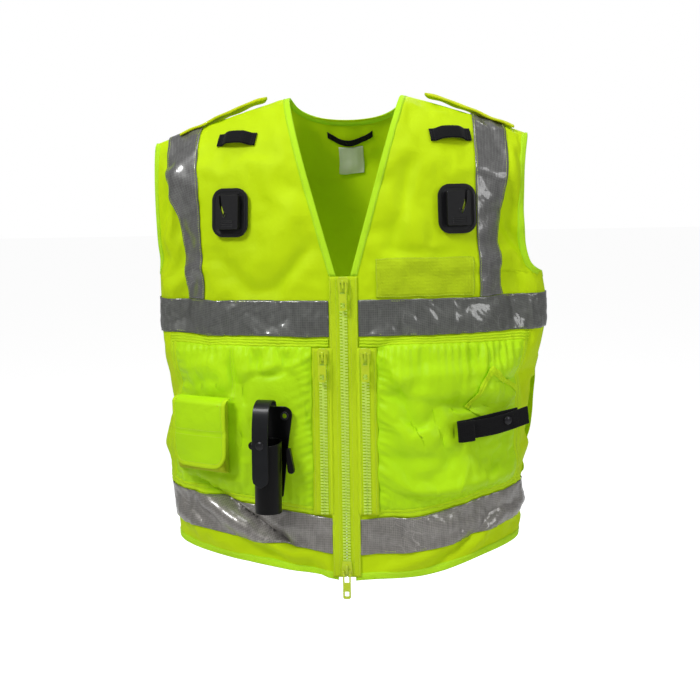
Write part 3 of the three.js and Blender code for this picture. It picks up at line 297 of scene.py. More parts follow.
def back_neck_edge(share):
    angle = math.pi * (1 - np.asarray(share, float))
    return np.stack([NECK_HALF * np.cos(angle), -NAPE_SCOOP * np.sin(angle)], -1)


EDGES = {(s, h): armhole_edge(s, np.linspace(0, 1, 60), h) for s in (FRONT, BACK) for h in (-1, 1)}
TAPE_ROWS = [-285.0, -335.0, -564.0, -614.0]
BEYOND_THE_VEST = 400.0


def held_places(side, x, z):
    """How firmly seams hold the shell: 1 at its edges, less along the rows of the tape's stitches."""
    right, left = (np.interp(z, EDGES[side, h][:, 1], EDGES[side, h][:, 0], left=BEYOND_THE_VEST)
                   for h in (-1, 1))
    reach = np.where(x < 0, right, left)
    held = (np.abs(x) > reach - 9) | (np.abs(x) > half_width(z) - 4)
    held |= (z < hem_z(side, x) + 9) | (z > shoulder_z(x) - 1.5)
    if side == FRONT:
        v = neck_edge(np.linspace(0, 1, 40))
        held |= np.abs(x) < np.interp(z, v[:, 1], v[:, 0], left=22) + 9
    else:
        nape = np.clip(1 - (x / NECK_HALF) ** 2, 0, 1) ** 0.5 * NAPE_SCOOP
        held |= (np.abs(x) < NECK_HALF) & (z > -nape - 10)
    firm = held.astype(float)
    for row in TAPE_ROWS:
        firm = np.maximum(firm, 0.3 * (np.abs(z - row) < 4))
    return np.maximum(firm, 1 - freedom(side, x, z))


SLACK = 0.036
turns = np.linspace(-QUARTER, QUARTER, FIELD_TURNS)
runs = np.arange(FIELD_RUNS) * FIELD_STEP
field_run, field_turn = np.meshgrid(runs, turns, indexing="ij")
fields = {}
for side in (FRONT, BACK):
    start = drape(side, field_turn, field_run)
    # A third of a millimetre of unevenness gives the cloth somewhere to begin to buckle.
    uneven = 0.35 * np.sin(field_turn * 31 + field_run * 0.043) * np.sin(field_run * 0.117 - field_turn * 17)
    start += normals_of(drape, side, field_turn, field_run) * uneven[..., None]
    firm = held_places(side, start[..., 0], start[..., 2])
    fields[side] = let_go(start, firm, SLACK, 0.10 * -side, 0.05, 9.0)


def between(field, r, c):
    """A field's value at a row and a column that fall between its own."""
    i, j = r.astype(int), c.astype(int)
    a, b = (r - i)[..., None], (c - j)[..., None]
    return ((1 - a) * ((1 - b) * field[i, j] + b * field[i, j + 1])
            + a * ((1 - b) * field[i + 1, j] + b * field[i + 1, j + 1]))


def field_at(side, turn, run):
    c = np.clip((turn + QUARTER) / math.pi * (FIELD_TURNS - 1), 0, FIELD_TURNS - 1.001)
    r = np.clip(run / FIELD_STEP, 0, FIELD_RUNS - 1.001)
    return between(fields[side], r, c)


def settled(side, turn, run):
    return drape(side, turn, run) + field_at(side, np.asarray(turn, float), np.asarray(run, float))


def lay(side, x, z, off=0.0):
    """Points that lie a small height above the settled cloth at places given by X and Z."""
    turn, run = place_of(x, z)
    off = np.asarray(off, float)
    p = settled(side, turn, run)
    return p + normals_of(settled, side, turn, run) * off[..., None]


# ======== Shell panels ========
# Two fronts and a back of fluorescent woven polyester, cut and sewn at the shoulders and sides. Each
# is one layer of cloth with its raw edges inside the bindings.
SHELL_YELLOW = (0.57, 0.80, 0.002)


def nodes_of(material):
    material.use_nodes = True
    material.node_tree.nodes.clear()
    return material.node_tree.nodes


def node(nodes, kind, **values):
    made = nodes.new(kind)
    for key, value in values.items():
        if hasattr(made, key):
            setattr(made, key, value)
        else:
            made.inputs[key.replace("_", " ")].default_value = value
    return made


def join(source, out, target, into):
    source.id_data.links.new(source.outputs[out], target.inputs[into])


def ramp(nodes, source, out, low, high, dark, light):
    """A change from dark to light as a source's value goes from low to high."""
    made = node(nodes, "ShaderNodeValToRGB")
    for stop, place, colour in zip(made.color_ramp.elements, (low, high), (dark, light)):
        stop.position, stop.color = place, (*colour, 1)
    join(source, out, made, "Fac")
    return made


def woven(name, colour, shade=0.9, pitch=0.0009, roughness=0.62, glow=0.04, sheen=0.0, depth=0.25, patch=9,
          crumpled=0.2):
    """Woven cloth: crossing threads as fine relief, and a slow change of colour over its folds."""
    material = bpy.data.materials.new(name)
    nodes = nodes_of(material)
    out = node(nodes, "ShaderNodeOutputMaterial")
    cloth = node(nodes, "ShaderNodeBsdfPrincipled", Roughness=roughness)
    cloth.inputs["Specular IOR Level"].default_value = 0.14
    cloth.inputs["Sheen Weight"].default_value = sheen
    cloth.inputs["Sheen Roughness"].default_value = 0.4
    cloth.inputs["Emission Strength"].default_value = glow
    join(cloth, 0, out, 0)
    place = node(nodes, "ShaderNodeTexCoord")
    slow = node(nodes, "ShaderNodeTexNoise", Scale=patch, Detail=2.0)
    join(place, "Object", slow, "Vector")
    tint = ramp(nodes, slow, "Fac", 0.32, 0.7, [c * shade for c in colour], colour)
    join(tint, "Color", cloth, "Base Color")
    join(tint, "Color", cloth, "Emission Color")
    warp = node(nodes, "ShaderNodeTexWave", wave_type="BANDS", bands_direction="X", Scale=0.314 / pitch / 2)
    weft = node(nodes, "ShaderNodeTexWave", wave_type="BANDS", bands_direction="Y", Scale=0.314 / pitch / 2)
    join(place, "UV", warp, "Vector")
    join(place, "UV", weft, "Vector")
    both = node(nodes, "ShaderNodeMath", operation="MAXIMUM")
    join(warp, "Fac", both, 0)
    join(weft, "Fac", both, 1)
    relief = node(nodes, "ShaderNodeBump", Strength=depth, Distance=0.0003)
    join(both, 0, relief, "Height")
    fine = node(nodes, "ShaderNodeTexNoise", Scale=52.0, Detail=4.0, Roughness=0.5, Distortion=0.2)
    join(place, "Object", fine, "Vector")
    crumple = node(nodes, "ShaderNodeBump", Strength=crumpled, Distance=0.004)
    join(fine, "Fac", crumple, "Height")
    join(relief, 0, crumple, "Normal")
    join(crumple, 0, cloth, "Normal")
    return material


def finish_piece(obj, body, material=None, replaces=(), smooth_angle=None):
    """Gives a finished piece its material and its body, and hides the nodes that it stands for."""
    if material is not None:
        obj.data.materials.clear()
        obj.data.materials.append(material)
    obj.data.polygons.foreach_set("use_smooth", [True] * len(obj.data.polygons))
    if smooth_angle is not None:
        obj.data.set_sharp_from_angle(angle=math.radians(smooth_angle))
    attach(obj, body)
    if replaces:
        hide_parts(*replaces)
    return obj


def with_uv(obj, u, v):
    """A map along the cloth in metres, so that its weave follows it."""
    layer = obj.data.uv_layers.new(name="weave")
    loops = np.empty(len(obj.data.loops), int)
    obj.data.loops.foreach_get("vertex_index", loops)
    uv = np.stack([u.reshape(-1)[loops], v.reshape(-1)[loops]], -1) * 0.001
    layer.data.foreach_set("uv", uv.reshape(-1))


def walled(obj, thickness, offset):
    """Gives a sheet its thickness, in millimetres, from its grid outward (1) or inward (-1)."""
    wall = obj.modifiers.new("thickness", "SOLIDIFY")
    wall.thickness, wall.offset = thickness * 0.001, offset
    return obj


def cloth_grid(name, side, x, z, off, thickness):
    """A laid piece of cloth over a grid of places, of one thickness, facing out."""
    grid = lay(side, x, z, off)
    obj = grid_object(name, grid)
    turn, run = place_of(x, z)
    with_uv(obj, turn * 300, run)
    face = obj.data.polygons[len(obj.data.polygons) // 2]
    middle = grid.reshape(-1, 3)[list(face.vertices)].mean(0)
    outward = Vector((middle[0] * 0.5, middle[1] - SEAM_Y, 0))
    if face.normal.dot(outward) < 0:
        obj.data.flip_normals()
    return walled(obj, thickness, 1)


ROWS_BELOW, ROWS_ABOVE = 84, 74
FRONT_EDGE_TURN = place_of(13.0, -400.0)[0]


def front_places(hand, columns):
    """Places over a front, in rows from the hem to the shoulder."""
    u = np.linspace(0, 1, columns)
    edge_x = half_width(SIDE_HEM)
    xs, zs = [], []
    for t in np.linspace(0, 1, ROWS_BELOW, endpoint=False):
        turn = mix(FRONT_EDGE_TURN, QUARTER, u)
        x_hem = edge_x * np.sin(turn)
        z = mix(hem_z(FRONT, x_hem) + 2.0, ZIP_TOP - 1.0, t)
        xs.append(half_width(z) * np.sin(turn))
        zs.append(z)
    top_run = run_of(np.array(-ZIP_TOP))
    for run in np.linspace(top_run, 0, ROWS_ABOVE):
        share = float(1 - drop_of(run) / -ZIP_TOP)
        a = neck_edge(share) + [2, 0]
        b = armhole_edge(FRONT, share ** 0.9, hand) - [2 * share, 2 * (1 - share)]
        turn_a, turn_b = place_of(*a)[0], place_of(*b)[0]
        turn = mix(turn_a, turn_b, u)
        level = mix(a[1], b[1], u)
        x = half_width(level) * np.sin(turn)
        drop = mix(shoulder_z(a[0]) - a[1], shoulder_z(b[0]) - b[1], u)
        xs.append(x)
        zs.append(mix(level, shoulder_z(x) - drop, share))
    return hand * np.array(xs), np.array(zs)


def back_places(columns):
    """The same over the back, from one side to the other."""
    u = np.linspace(-1, 1, columns)
    xs, zs = [], []
    for t in np.linspace(0, 1, ROWS_BELOW, endpoint=False):
        z = mix(SIDE_HEM + 2.0, ZIP_TOP - 1.0, t) + 0 * u
        xs.append(half_width(z) * np.sin(u * QUARTER))
        zs.append(z)
    top_run = run_of(np.array(-ZIP_TOP))
    for run in np.linspace(top_run, 0, ROWS_ABOVE):
        share = float(1 - drop_of(run) / -ZIP_TOP)
        ends = [armhole_edge(BACK, share ** 0.9, h) - [2 * share, 2 * (1 - share)] for h in (-1, 1)]
        b = mix(ends[0], ends[1], (u[:, None] + 1) / 2)
        x = half_width(b[:, 1]) * np.sin(u * np.where(u < 0, place_of(*ends[0])[0], place_of(*ends[1])[0]))
        scoop = (NAPE_SCOOP + 2) * np.clip(1 - (x / (NECK_HALF + 2)) ** 2, 0, 1) ** 0.5
        drop = mix(shoulder_z(b[:, 0]) - b[:, 1], scoop, share**3)
        xs.append(x)
        zs.append(mix(b[:, 1], shoulder_z(x) - drop, smooth(np.array(share * 1.2))))
    return np.array(xs), np.array(zs)


CLOTH = 0.8
shell = woven("shell polyester", SHELL_YELLOW, crumpled=0.3)
for name, hand in (("right", -1), ("left", 1)):
    x, z = front_places(hand, 78)
    panel = cloth_grid(f"front_{name}", FRONT, x, z, 0.0, CLOTH)
    finish_piece(panel, "vest", shell, [f"front_panel_{name}"])
x, z = back_places(130)
panel = cloth_grid("back", BACK, x, z, 0.0, CLOTH)
finish_piece(panel, "vest", shell, ["back_panel"])

# ======== Edge bindings ========
# A folded ribbon wraps the neck, each armhole and the hem, and is stitched through near its inner
# edge. It is a lighter, yellower green than the shell and finely ribbed.
# The ribbon's section: how far in from the edge, and how far out from the shell.
FOLD = [(10, -0.5), (6, -0.75), (2, -0.8), (0.3, -0.5), (-0.4, 0.5),
        (0.3, 1.5), (2, 1.85), (6, 1.8), (10, 1.5)]
binding = woven("binding ribbon", (0.50, 0.86, 0.02), shade=0.9, pitch=0.0013, roughness=0.8, depth=0.6,
                glow=0.06)


def inset_places(side, edge, inward, inset):
    """Places a true distance in from an edge, measured along the cloth."""
    at = lay(side, edge[:, 0], edge[:, 1])
    step = lay(side, edge[:, 0] + inward[:, 0], edge[:, 1] + inward[:, 1]) - at
    reach = np.maximum(np.linalg.norm(step, axis=-1, keepdims=True), 0.6)
    return edge + inward * inset / reach


def direction_of(points):
    along = np.gradient(points, axis=0)
    return along / np.maximum(np.linalg.norm(along, axis=-1, keepdims=True), 1e-9)


def ribbon_rows(side, edge, inward):
    """One ring of points round the ribbon's fold for each place along an edge."""
    rings = []
    for inset, off in FOLD:
        p = inset_places(side, edge, inward, inset)
        rings.append(lay(side, p[:, 0], p[:, 1], off))
    return np.stack(rings, 1)


def tube_object(name, rings, ends=False):
    """A closed tube through rings of points; its ends meet, or are capped."""
    rings = np.concatenate([rings, rings[:, :1]], 1)
    if not ends:
        rings = np.concatenate([rings, rings[:1]], 0)
    obj = grid_object(name, rings)
    mesh = bmesh.new()
    mesh.from_mesh(obj.data)
    bmesh.ops.remove_doubles(mesh, verts=mesh.verts, dist=1e-6)
    if ends:
        bmesh.ops.holes_fill(mesh, edges=[e for e in mesh.edges if e.is_boundary], sides=0)
    bmesh.ops.recalc_face_normals(mesh, faces=mesh.faces)
    mesh.to_mesh(obj.data)
    mesh.free()
    length = lengths_along(rings[:, 0])
    layer = obj.data.uv_layers.new(name="weave")
    coords = np.array([v.co for v in obj.data.vertices]) * 1000
    grid = rings.reshape(-1, 3)
    width = rings.shape[1]
    order = {tuple(np.round(p, 3)): k for k, p in reversed(list(enumerate(grid)))}
    keys = np.array([order.get(tuple(np.round(c, 3)), 0) for c in coords])
    loops = np.empty(len(obj.data.loops), int)
    obj.data.loops.foreach_get("vertex_index", loops)
    u, v = length[keys // width], (keys % width) * 1.6
    layer.data.foreach_set("uv", (np.stack([u[loops], v[loops]], -1) * 0.001).reshape(-1))
    return obj


def spaced(points, step):
    """Places evenly spaced along a line of places."""
    reach = lengths_along(points)
    at = np.linspace(0, reach[-1], max(int(reach[-1] / step), 2))
    return np.stack([np.interp(at, reach, points[:, k]) for k in range(points.shape[1])], -1)


v_line = spaced(neck_edge(np.linspace(0, 1, 60)), 4.5)
nape_line = spaced(back_neck_edge(np.linspace(0, 1, 60)), 4.5)[1:-1]
left_v = ribbon_rows(FRONT, v_line, np.repeat([[1.0, 0.12]], len(v_line), 0))
right_v = ribbon_rows(FRONT, v_line * [-1, 1], np.repeat([[-1.0, 0.12]], len(v_line), 0))
nape_share = nape_line[:, 0] / NECK_HALF
nape_out = np.stack([nape_share, -np.sqrt(np.clip(1 - nape_share**2, 0, 1))], -1)
nape = ribbon_rows(BACK, nape_line, nape_out)
ribbon = tube_object("neck_ribbon", np.concatenate([right_v, nape, left_v[::-1]]), ends=True)
finish_piece(ribbon, "vest", binding, ["neck_binding"])

arm_lines = {(s, h): spaced(armhole_edge(s, np.linspace(0, 1, 80), h), 4.5)
             for s in (FRONT, BACK) for h in (-1, 1)}


def arm_inward(side, hand):
    along = direction_of(arm_lines[side, hand])
    n = np.stack([-along[:, 1], along[:, 0]], -1)
    n[0], n[-1] = [0, -1], [-1, 0.1]
    return n * [hand, 1]


for name, hand in (("right", -1), ("left", 1)):
    rows = [ribbon_rows(s, arm_lines[s, hand] * [hand, 1], arm_inward(s, hand)) for s in (FRONT, BACK)]
    ribbon = tube_object(f"armhole_ribbon_{name}", np.concatenate([rows[0], rows[1][::-1]]))
    finish_piece(ribbon, "vest", binding, [f"armhole_binding_{name}"])

hem_turns = np.linspace(FRONT_EDGE_TURN, QUARTER, 90)
front_hem_x = HEM_HALF * np.sin(hem_turns)
front_hem = np.stack([front_hem_x, hem_z(FRONT, front_hem_x)], -1)
back_x = HEM_HALF * np.sin(np.linspace(-QUARTER, QUARTER, 170))
back_hem = np.stack([back_x, hem_z(BACK, back_x)], -1)


def up(line):
    return np.repeat([[0.0, 1.0]], len(line), 0)


hem_rows = [ribbon_rows(FRONT, front_hem * [-1, 1], up(front_hem)), ribbon_rows(BACK, back_hem, up(back_hem)),
            ribbon_rows(FRONT, front_hem[::-1], up(front_hem))]
ribbon = tube_object("hem_ribbon", np.concatenate(hem_rows), ends=True)
finish_piece(ribbon, "vest", binding, ["hem_binding"])

# ======== Reflective tape ========
# Grey glass-bead sheet, embossed with small cells and welded under clear glossy vinyl, sewn on in
# 50 mm bands round the chest and hem and over each shoulder. The vinyl creases where the vest bends.
TAPE_WIDTH, TAPE_LIFT, TAPE_WALL = 50.0, 1.8, 0.7
CHEST_TAPE_TOP, HEM_TAPE_RISE = -285.0, 86.0
BRACE_X = 190.0


def vinyl_tape(name, grey):
    """Glass-bead sheet with embossed cells and painted pale highlights along its creases, under a clear
    wrinkled coat.
    """
    material = bpy.data.materials.new(name)
    nodes = nodes_of(material)
    out = node(nodes, "ShaderNodeOutputMaterial")
    sheet = node(nodes, "ShaderNodeBsdfPrincipled", Roughness=0.42)
    sheet.inputs["Metallic"].default_value = 0.35
    sheet.inputs["Coat Weight"].default_value = 1.0
    sheet.inputs["Coat Roughness"].default_value = 0.07
    sheet.inputs["Coat IOR"].default_value = 1.5
    join(sheet, 0, out, 0)
    place = node(nodes, "ShaderNodeTexCoord")
    cells = node(nodes, "ShaderNodeTexBrick", Scale=1.0)
    cells.offset = 0.0
    cells.inputs["Color1"].default_value = (*grey, 1)
    cells.inputs["Color2"].default_value = (*[c * 0.87 for c in grey], 1)
    cells.inputs["Mortar"].default_value = (*[c * 1.45 for c in grey], 1)
    cells.inputs["Mortar Size"].default_value = 0.00022
    cells.inputs["Brick Width"].default_value = 0.0032
    cells.inputs["Row Height"].default_value = 0.0032
    join(place, "UV", cells, "Vector")
    bent = node(nodes, "ShaderNodeTexNoise", Scale=22.0, Detail=3.0)
    join(place, "Object", bent, "Vector")
    moved = node(nodes, "ShaderNodeVectorMath", operation="MULTIPLY_ADD")
    moved.inputs[1].default_value = (0.09, 0.09, 0.05)
    join(bent, "Color", moved, 0)
    join(place, "Object", moved, 2)
    kinks = node(nodes, "ShaderNodeTexVoronoi", feature="DISTANCE_TO_EDGE", Scale=38.0)
    join(moved, 0, kinks, "Vector")
    # Lighter lines along the creases, in patches, are painted highlights; the crease relief below follows the
    # same lines.
    line = ramp(nodes, kinks, "Distance", 0.0, 0.028, (1, 1, 1), (0, 0, 0))
    where = node(nodes, "ShaderNodeTexNoise", Scale=13.0, Detail=2.0)
    join(place, "Object", where, "Vector")
    highlight_patches = ramp(nodes, where, "Fac", 0.52, 0.68, (0, 0, 0), (1, 1, 1))
    crease_highlights = node(nodes, "ShaderNodeMath", operation="MULTIPLY")
    join(line, "Color", crease_highlights, 0)
    join(highlight_patches, "Color", crease_highlights, 1)
    tone = node(nodes, "ShaderNodeMix", data_type="RGBA")
    join(crease_highlights, 0, tone, 0)
    join(cells, "Color", tone, 6)
    # The painted highlight's colour, nearly twice as light as the sheet.
    tone.inputs[7].default_value = (*[c * 1.9 for c in grey], 1)
    streaks = node(nodes, "ShaderNodeTexNoise", Scale=60.0, Detail=4.0)
    stretch = node(nodes, "ShaderNodeMapping")
    stretch.inputs["Scale"].default_value = (3.0, 3.0, 0.5)
    join(place, "Object", stretch, "Vector")
    join(stretch, 0, streaks, "Vector")
    shade = node(nodes, "ShaderNodeMix", data_type="RGBA", blend_type="MULTIPLY")
    shade.inputs[0].default_value = 0.55
    join(tone, 2, shade, 6)
    join(streaks, "Fac", shade, 7)
    join(shade, 2, sheet, "Base Color")
    emboss = node(nodes, "ShaderNodeBump", Strength=0.3, Distance=0.0002)
    join(cells, "Fac", emboss, "Height")
    join(emboss, 0, sheet, "Normal")
    creased = node(nodes, "ShaderNodeBump", Strength=0.4, Distance=0.0010)
    join(kinks, "Distance", creased, "Height")
    rippled = node(nodes, "ShaderNodeBump", Strength=0.25, Distance=0.0015)
    join(streaks, "Fac", rippled, "Height")
    join(creased, 0, rippled, "Normal")
    join(rippled, 0, sheet, "Coat Normal")
    return material


# One tape in three tones: the hem copy is painted lighter and warmer and the chest copy darker than the
# shoulder's, as painted light and shade.
tapes = {
    "chest": vinyl_tape("reflective tape, chest", (0.155, 0.160, 0.148)),
    "hem": vinyl_tape("reflective tape, hem", (0.330, 0.312, 0.290)),
    "shoulder": vinyl_tape("reflective tape, shoulder", (0.190, 0.190, 0.185)),
}


def band_places(hand, top):
    """Places over a band that runs from near the zip out to the side seam."""
    u = np.linspace(place_of(20.4, -400.0)[0], QUARTER, 170)
    v = np.linspace(0, 1, 19)[:, None]
    x_ref = half_width(-300.0 if top is None else -600.0) * np.sin(u)[None]
    z = (CHEST_TAPE_TOP if top is None else top(x_ref)) - TAPE_WIDTH * v + 0 * x_ref
    return hand * half_width(z) * np.sin(u)[None], z


def taut(x, z):
    """Waves and kinks that stand across a band where the stiff vinyl is bent."""
    waves = 0.6 * np.sin(x * 0.13 + np.sin(z * 0.05) * 2) * np.sin(x * 0.041 + 1.3)
    kinks = np.sin(x * 0.21 + 2.2 * np.sin(z * 0.11 + x * 0.013)) * np.sin(x * 0.057 + z * 0.09)
    fine = np.sin(x * 0.47 + z * 0.3) * np.sin(z * 0.21 - x * 0.08)
    return waves + 0.75 * np.abs(kinks) ** 0.6 + 0.3 * fine


def hem_top(x):
    return hem_z(FRONT, x) + HEM_TAPE_RISE


for name, hand in (("right", -1), ("left", 1)):
    for kind, top in (("chest", None), ("hem", hem_top)):
        x, z = band_places(hand, top)
        piece = cloth_grid(f"{kind}_band_{name}", FRONT, x, z, TAPE_LIFT + taut(x, z), TAPE_WALL)
        finish_piece(piece, "vest", tapes[kind], [f"{kind}_tape_{name}"])
for kind, top in (("chest", CHEST_TAPE_TOP), ("hem", SIDE_HEM + HEM_TAPE_RISE)):
    z = top - TAPE_WIDTH * np.linspace(0, 1, 19)[:, None] + np.zeros((1, 260))
    x = half_width(z) * np.sin(np.linspace(-QUARTER, QUARTER, 260))[None]
    piece = cloth_grid(f"{kind}_band_back", BACK, x, z, TAPE_LIFT + taut(x, z), TAPE_WALL)
    finish_piece(piece, "vest", tapes[kind], [f"{kind}_tape_back"])


def brace_x(side, hand, run, across):
    """X over a shoulder band. Below the chest fold in front, its outer edge tucks in behind the fold."""
    start = BRACE_X + (14 if hand < 0 else -10) - (4 if hand < 0 else -6) * run
    tuck = 16 * smooth((run - 0.3) / 0.5) * (side == FRONT)
    return start + (TAPE_WIDTH - 4 - tuck) * across


def brace_rows(side, hand):
    run = np.linspace(0, 1, 90)[:, None]
    x = brace_x(side, hand, run, np.linspace(0, 1, 19)[None])
    foot = place_of(x, np.full_like(x, CHEST_TAPE_TOP + 0.5))[1]
    z = shoulder_z(x) - drop_of(run * foot)
    return lay(side, hand * x, z, TAPE_LIFT + 0.2 + 0.5 * taut(z * 1.3, x * 1.6)), x, run * foot


for name, hand in (("right", -1), ("left", 1)):
    front, x, run = brace_rows(FRONT, hand)
    back, xb, run_b = brace_rows(BACK, hand)
    grid = np.concatenate([front[::-1], back[1:]])
    piece = grid_object(f"shoulder_band_{name}", grid, flip=hand > 0)
    along = np.concatenate([-run[::-1] + 0 * x, run_b[1:] + 0 * xb[1:]])
    with_uv(piece, np.concatenate([x, xb[1:]]), along)
    face = piece.data.polygons[len(piece.data.polygons) // 2]
    if face.normal.z < 0:
        piece.data.flip_normals()
    walled(piece, TAPE_WALL, 1)
    finish_piece(piece, "vest", tapes["shoulder"], [f"brace_tape_{name}"])

# ======== Main zip ========
# A two-way moulded-tooth zip, sewn on top of the front edges. The woven tape has a corded inner edge,
# and the plastic teeth are moulded round the cord and mesh across the middle.
ZIP_TAPE_IN, ZIP_TAPE_OUT, ZIP_LENGTH = 0.9, 19.6, 418.0
TOOTH_PITCH = 4.2
zip_yellow = woven("zip tape", (0.56, 0.76, 0.012), shade=0.9, pitch=0.0010, roughness=0.8, depth=0.8)


def axes(origin, across, up):
    """A local frame in millimetres: X across, Y inward, Z up."""
    x = np.array(across, float) / np.linalg.norm(across)
    z = np.array(up, float) / np.linalg.norm(up)
    y = np.cross(z, x)
    return np.array(origin, float), np.stack([x, y, z])


def frame_on(x, z, lift, turn=0.0):
    """The frame of a fitting that sits on the smooth front, turned about its outward line."""
    place = place_of(x, z)
    out = normals_of(smooth_body, FRONT, *place)
    y = -out
    up = np.array([0, 0, 1.0]) - out * out[2]
    up /= np.linalg.norm(up)
    right = np.cross(y, up)
    c, s = math.cos(turn), math.sin(turn)
    return smooth_body(FRONT, *place) + out * lift, np.stack([right * c - up * s, y, right * s + up * c])


def at_frame(local, x, y, z):
    x, y, z = np.broadcast_arrays(np.asarray(x, float), np.asarray(y, float), np.asarray(z, float))
    return local[0] + np.stack([x, y, z], -1) @ local[1]


def solid_sheet(name, grid, thickness, outward, offset=-1):
    """A grid of points as cloth of one thickness whose outer face looks along outward."""
    obj = grid_object(name, grid)
    rows, cols = grid.shape[:2]
    u = lengths_along(grid[rows // 2])[None] + np.zeros((rows, 1))
    v = lengths_along(grid[:, cols // 2])[:, None] + np.zeros((1, cols))
    with_uv(obj, u, v)
    middle = grid[rows // 2, cols // 2]
    normal = np.cross(middle - grid[rows // 2 - 1, cols // 2], middle - grid[rows // 2, cols // 2 - 1])
    if np.dot(normal, outward) < 0:
        obj.data.flip_normals()
    return walled(obj, thickness, offset)


zips = {
    "main": (axes((0, -114.1, -252.84), (1, 0, 0), (0, 0.0629, 0.998)), ZIP_LENGTH),
    "right": (axes((-29.24, -122.23, -350.68), (0.9989, -0.0467, 0), (0.0029, 0.0621, 0.9981)), 232.0),
    "left": (axes((29.24, -122.23, -350.68), (0.9989, 0.0467, 0), (-0.0029, 0.0621, 0.9981)), 232.0),
}


def zip_tape(name, zip_name, hand, outer, nodes_replaced, droop=0.0):
    local, length = zips[zip_name]
    across = np.array([0, 0.5, 1.1, 1.7, 2.2, 3.2, 4.6, 6.2, 6.8, 7.4, 9.5, outer - ZIP_TAPE_IN - 3,
                       outer - ZIP_TAPE_IN - 2.6, outer - ZIP_TAPE_IN - 2.2, outer - ZIP_TAPE_IN])
    height = np.array([0.5, 0.0, -0.25, 0.0, 0.3, 0.4, 0.3, 0.1, -0.2, 0.05, 0.05, 0.05, 0.25, 0.0, 0.1])
    z = np.linspace(0.8, -length - 2.0, int(length / 4))[:, None]
    x = hand * (ZIP_TAPE_IN + across)[None]
    y = height[None] - 0.4 + 0.16 * np.sin(z * 0.21 + x * 0.4) * smooth((across - 3) / 6)
    outer_edge = smooth((across - across[-1] + 4.5) / 4.5)[None]
    both_ends = np.maximum(smooth((z + 4) / 4.8), smooth((-length + 3 - z) / 5))
    y = y + droop * np.maximum(outer_edge, both_ends)
    grid = at_frame(local, x, y, z)
    tape_piece = solid_sheet(name, grid, 0.7, (0, -1, 0))
    finish_piece(tape_piece, "vest", zip_yellow, nodes_replaced)


zip_tape("zip_tape_right_side", "main", -1, ZIP_TAPE_OUT, ["zip_tape_right"])
zip_tape("zip_tape_left_side", "main", 1, ZIP_TAPE_OUT, ["zip_tape_left"])


def plastic(name, colour, roughness=0.35, coat=0.0, glow=0.0, relief=0.1, grain=900.0, metallic=0.0,
            tone=0.85, mirror=0.5):
    """Moulded plastic, lacquer or metal with a fine grain and slightly worn tone."""
    material = bpy.data.materials.new(name)
    nodes = nodes_of(material)
    out = node(nodes, "ShaderNodeOutputMaterial")
    body = node(nodes, "ShaderNodeBsdfPrincipled", Roughness=roughness, Metallic=metallic)
    body.inputs["Specular IOR Level"].default_value = mirror
    body.inputs["Coat Weight"].default_value = coat
    body.inputs["Coat Roughness"].default_value = 0.12
    body.inputs["Emission Strength"].default_value = glow
    body.inputs["Emission Color"].default_value = (*colour, 1)
    join(body, 0, out, 0)
    place = node(nodes, "ShaderNodeTexCoord")
    slow = node(nodes, "ShaderNodeTexNoise", Scale=70.0, Detail=4.0)
    join(place, "Object", slow, "Vector")
    tint = ramp(nodes, slow, "Fac", 0.3, 0.72, [c * tone for c in colour], colour)
    join(tint, "Color", body, "Base Color")
    fine = node(nodes, "ShaderNodeTexNoise", Scale=grain, Detail=2.0)
    join(place, "Object", fine, "Vector")
    surface = node(nodes, "ShaderNodeBump", Strength=relief, Distance=0.0002)
    join(fine, "Fac", surface, "Height")
    join(surface, 0, body, "Normal")
    return material


def repeat_tree():
    """Sets copies of a small piece along lines, square to the line and to the face beneath."""
    tree = bpy.data.node_groups.new("pieces along a line", "GeometryNodeTree")
    for label, kind in (("Line", "Geometry"), ("Piece", "Object"), ("Pitch", "Float"),
                        ("Unevenness", "Float"), ("Seed", "Int"), ("Finish", "Material")):
        tree.interface.new_socket(label, in_out="INPUT", socket_type=f"NodeSocket{kind}")
    tree.interface.new_socket("Pieces", in_out="OUTPUT", socket_type="NodeSocketGeometry")
    add = tree.nodes.new
    given, result = add("NodeGroupInput"), add("NodeGroupOutput")
    curve, even = add("GeometryNodeMeshToCurve"), add("GeometryNodeResampleCurve")
    if hasattr(even, "mode"):
        even.mode = "LENGTH"
    join(given, "Line", curve, "Mesh")
    join(curve, "Curve", even, "Curve")
    join(given, "Pitch", even, "Length")
    outward = add("GeometryNodeInputNamedAttribute")
    outward.data_type = "FLOAT_VECTOR"
    outward.inputs["Name"].default_value = "outward"
    along, square = add("FunctionNodeAlignRotationToVector"), add("FunctionNodeAlignRotationToVector")
    along.axis, square.axis, square.pivot_axis = "X", "Z", "X"
    join(add("GeometryNodeInputTangent"), 0, along, "Vector")
    join(along, 0, square, "Rotation")
    join(outward, 0, square, "Vector")
    low, high, size = add("ShaderNodeMath"), add("ShaderNodeMath"), add("FunctionNodeRandomValue")
    low.operation, high.operation, size.data_type = "SUBTRACT", "ADD", "FLOAT"
    low.inputs[0].default_value = high.inputs[0].default_value = 1.0
    join(given, "Unevenness", low, 1)
    join(given, "Unevenness", high, 1)
    join(low, 0, size, 2)
    join(high, 0, size, 3)
    join(given, "Seed", size, "Seed")
    shape, place = add("GeometryNodeObjectInfo"), add("GeometryNodeInstanceOnPoints")
    join(given, "Piece", shape, "Object")
    join(even, "Curve", place, "Points")
    join(shape, "Geometry", place, "Instance")
    join(square, 0, place, "Rotation")
    join(size, 1, place, "Scale")
    whole, finish = add("GeometryNodeRealizeInstances"), add("GeometryNodeSetMaterial")
    join(place, 0, whole, 0)
    join(whole, 0, finish, "Geometry")
    join(given, "Finish", finish, "Material")
    join(finish, 0, result, 0)
    return tree


repeats = repeat_tree()


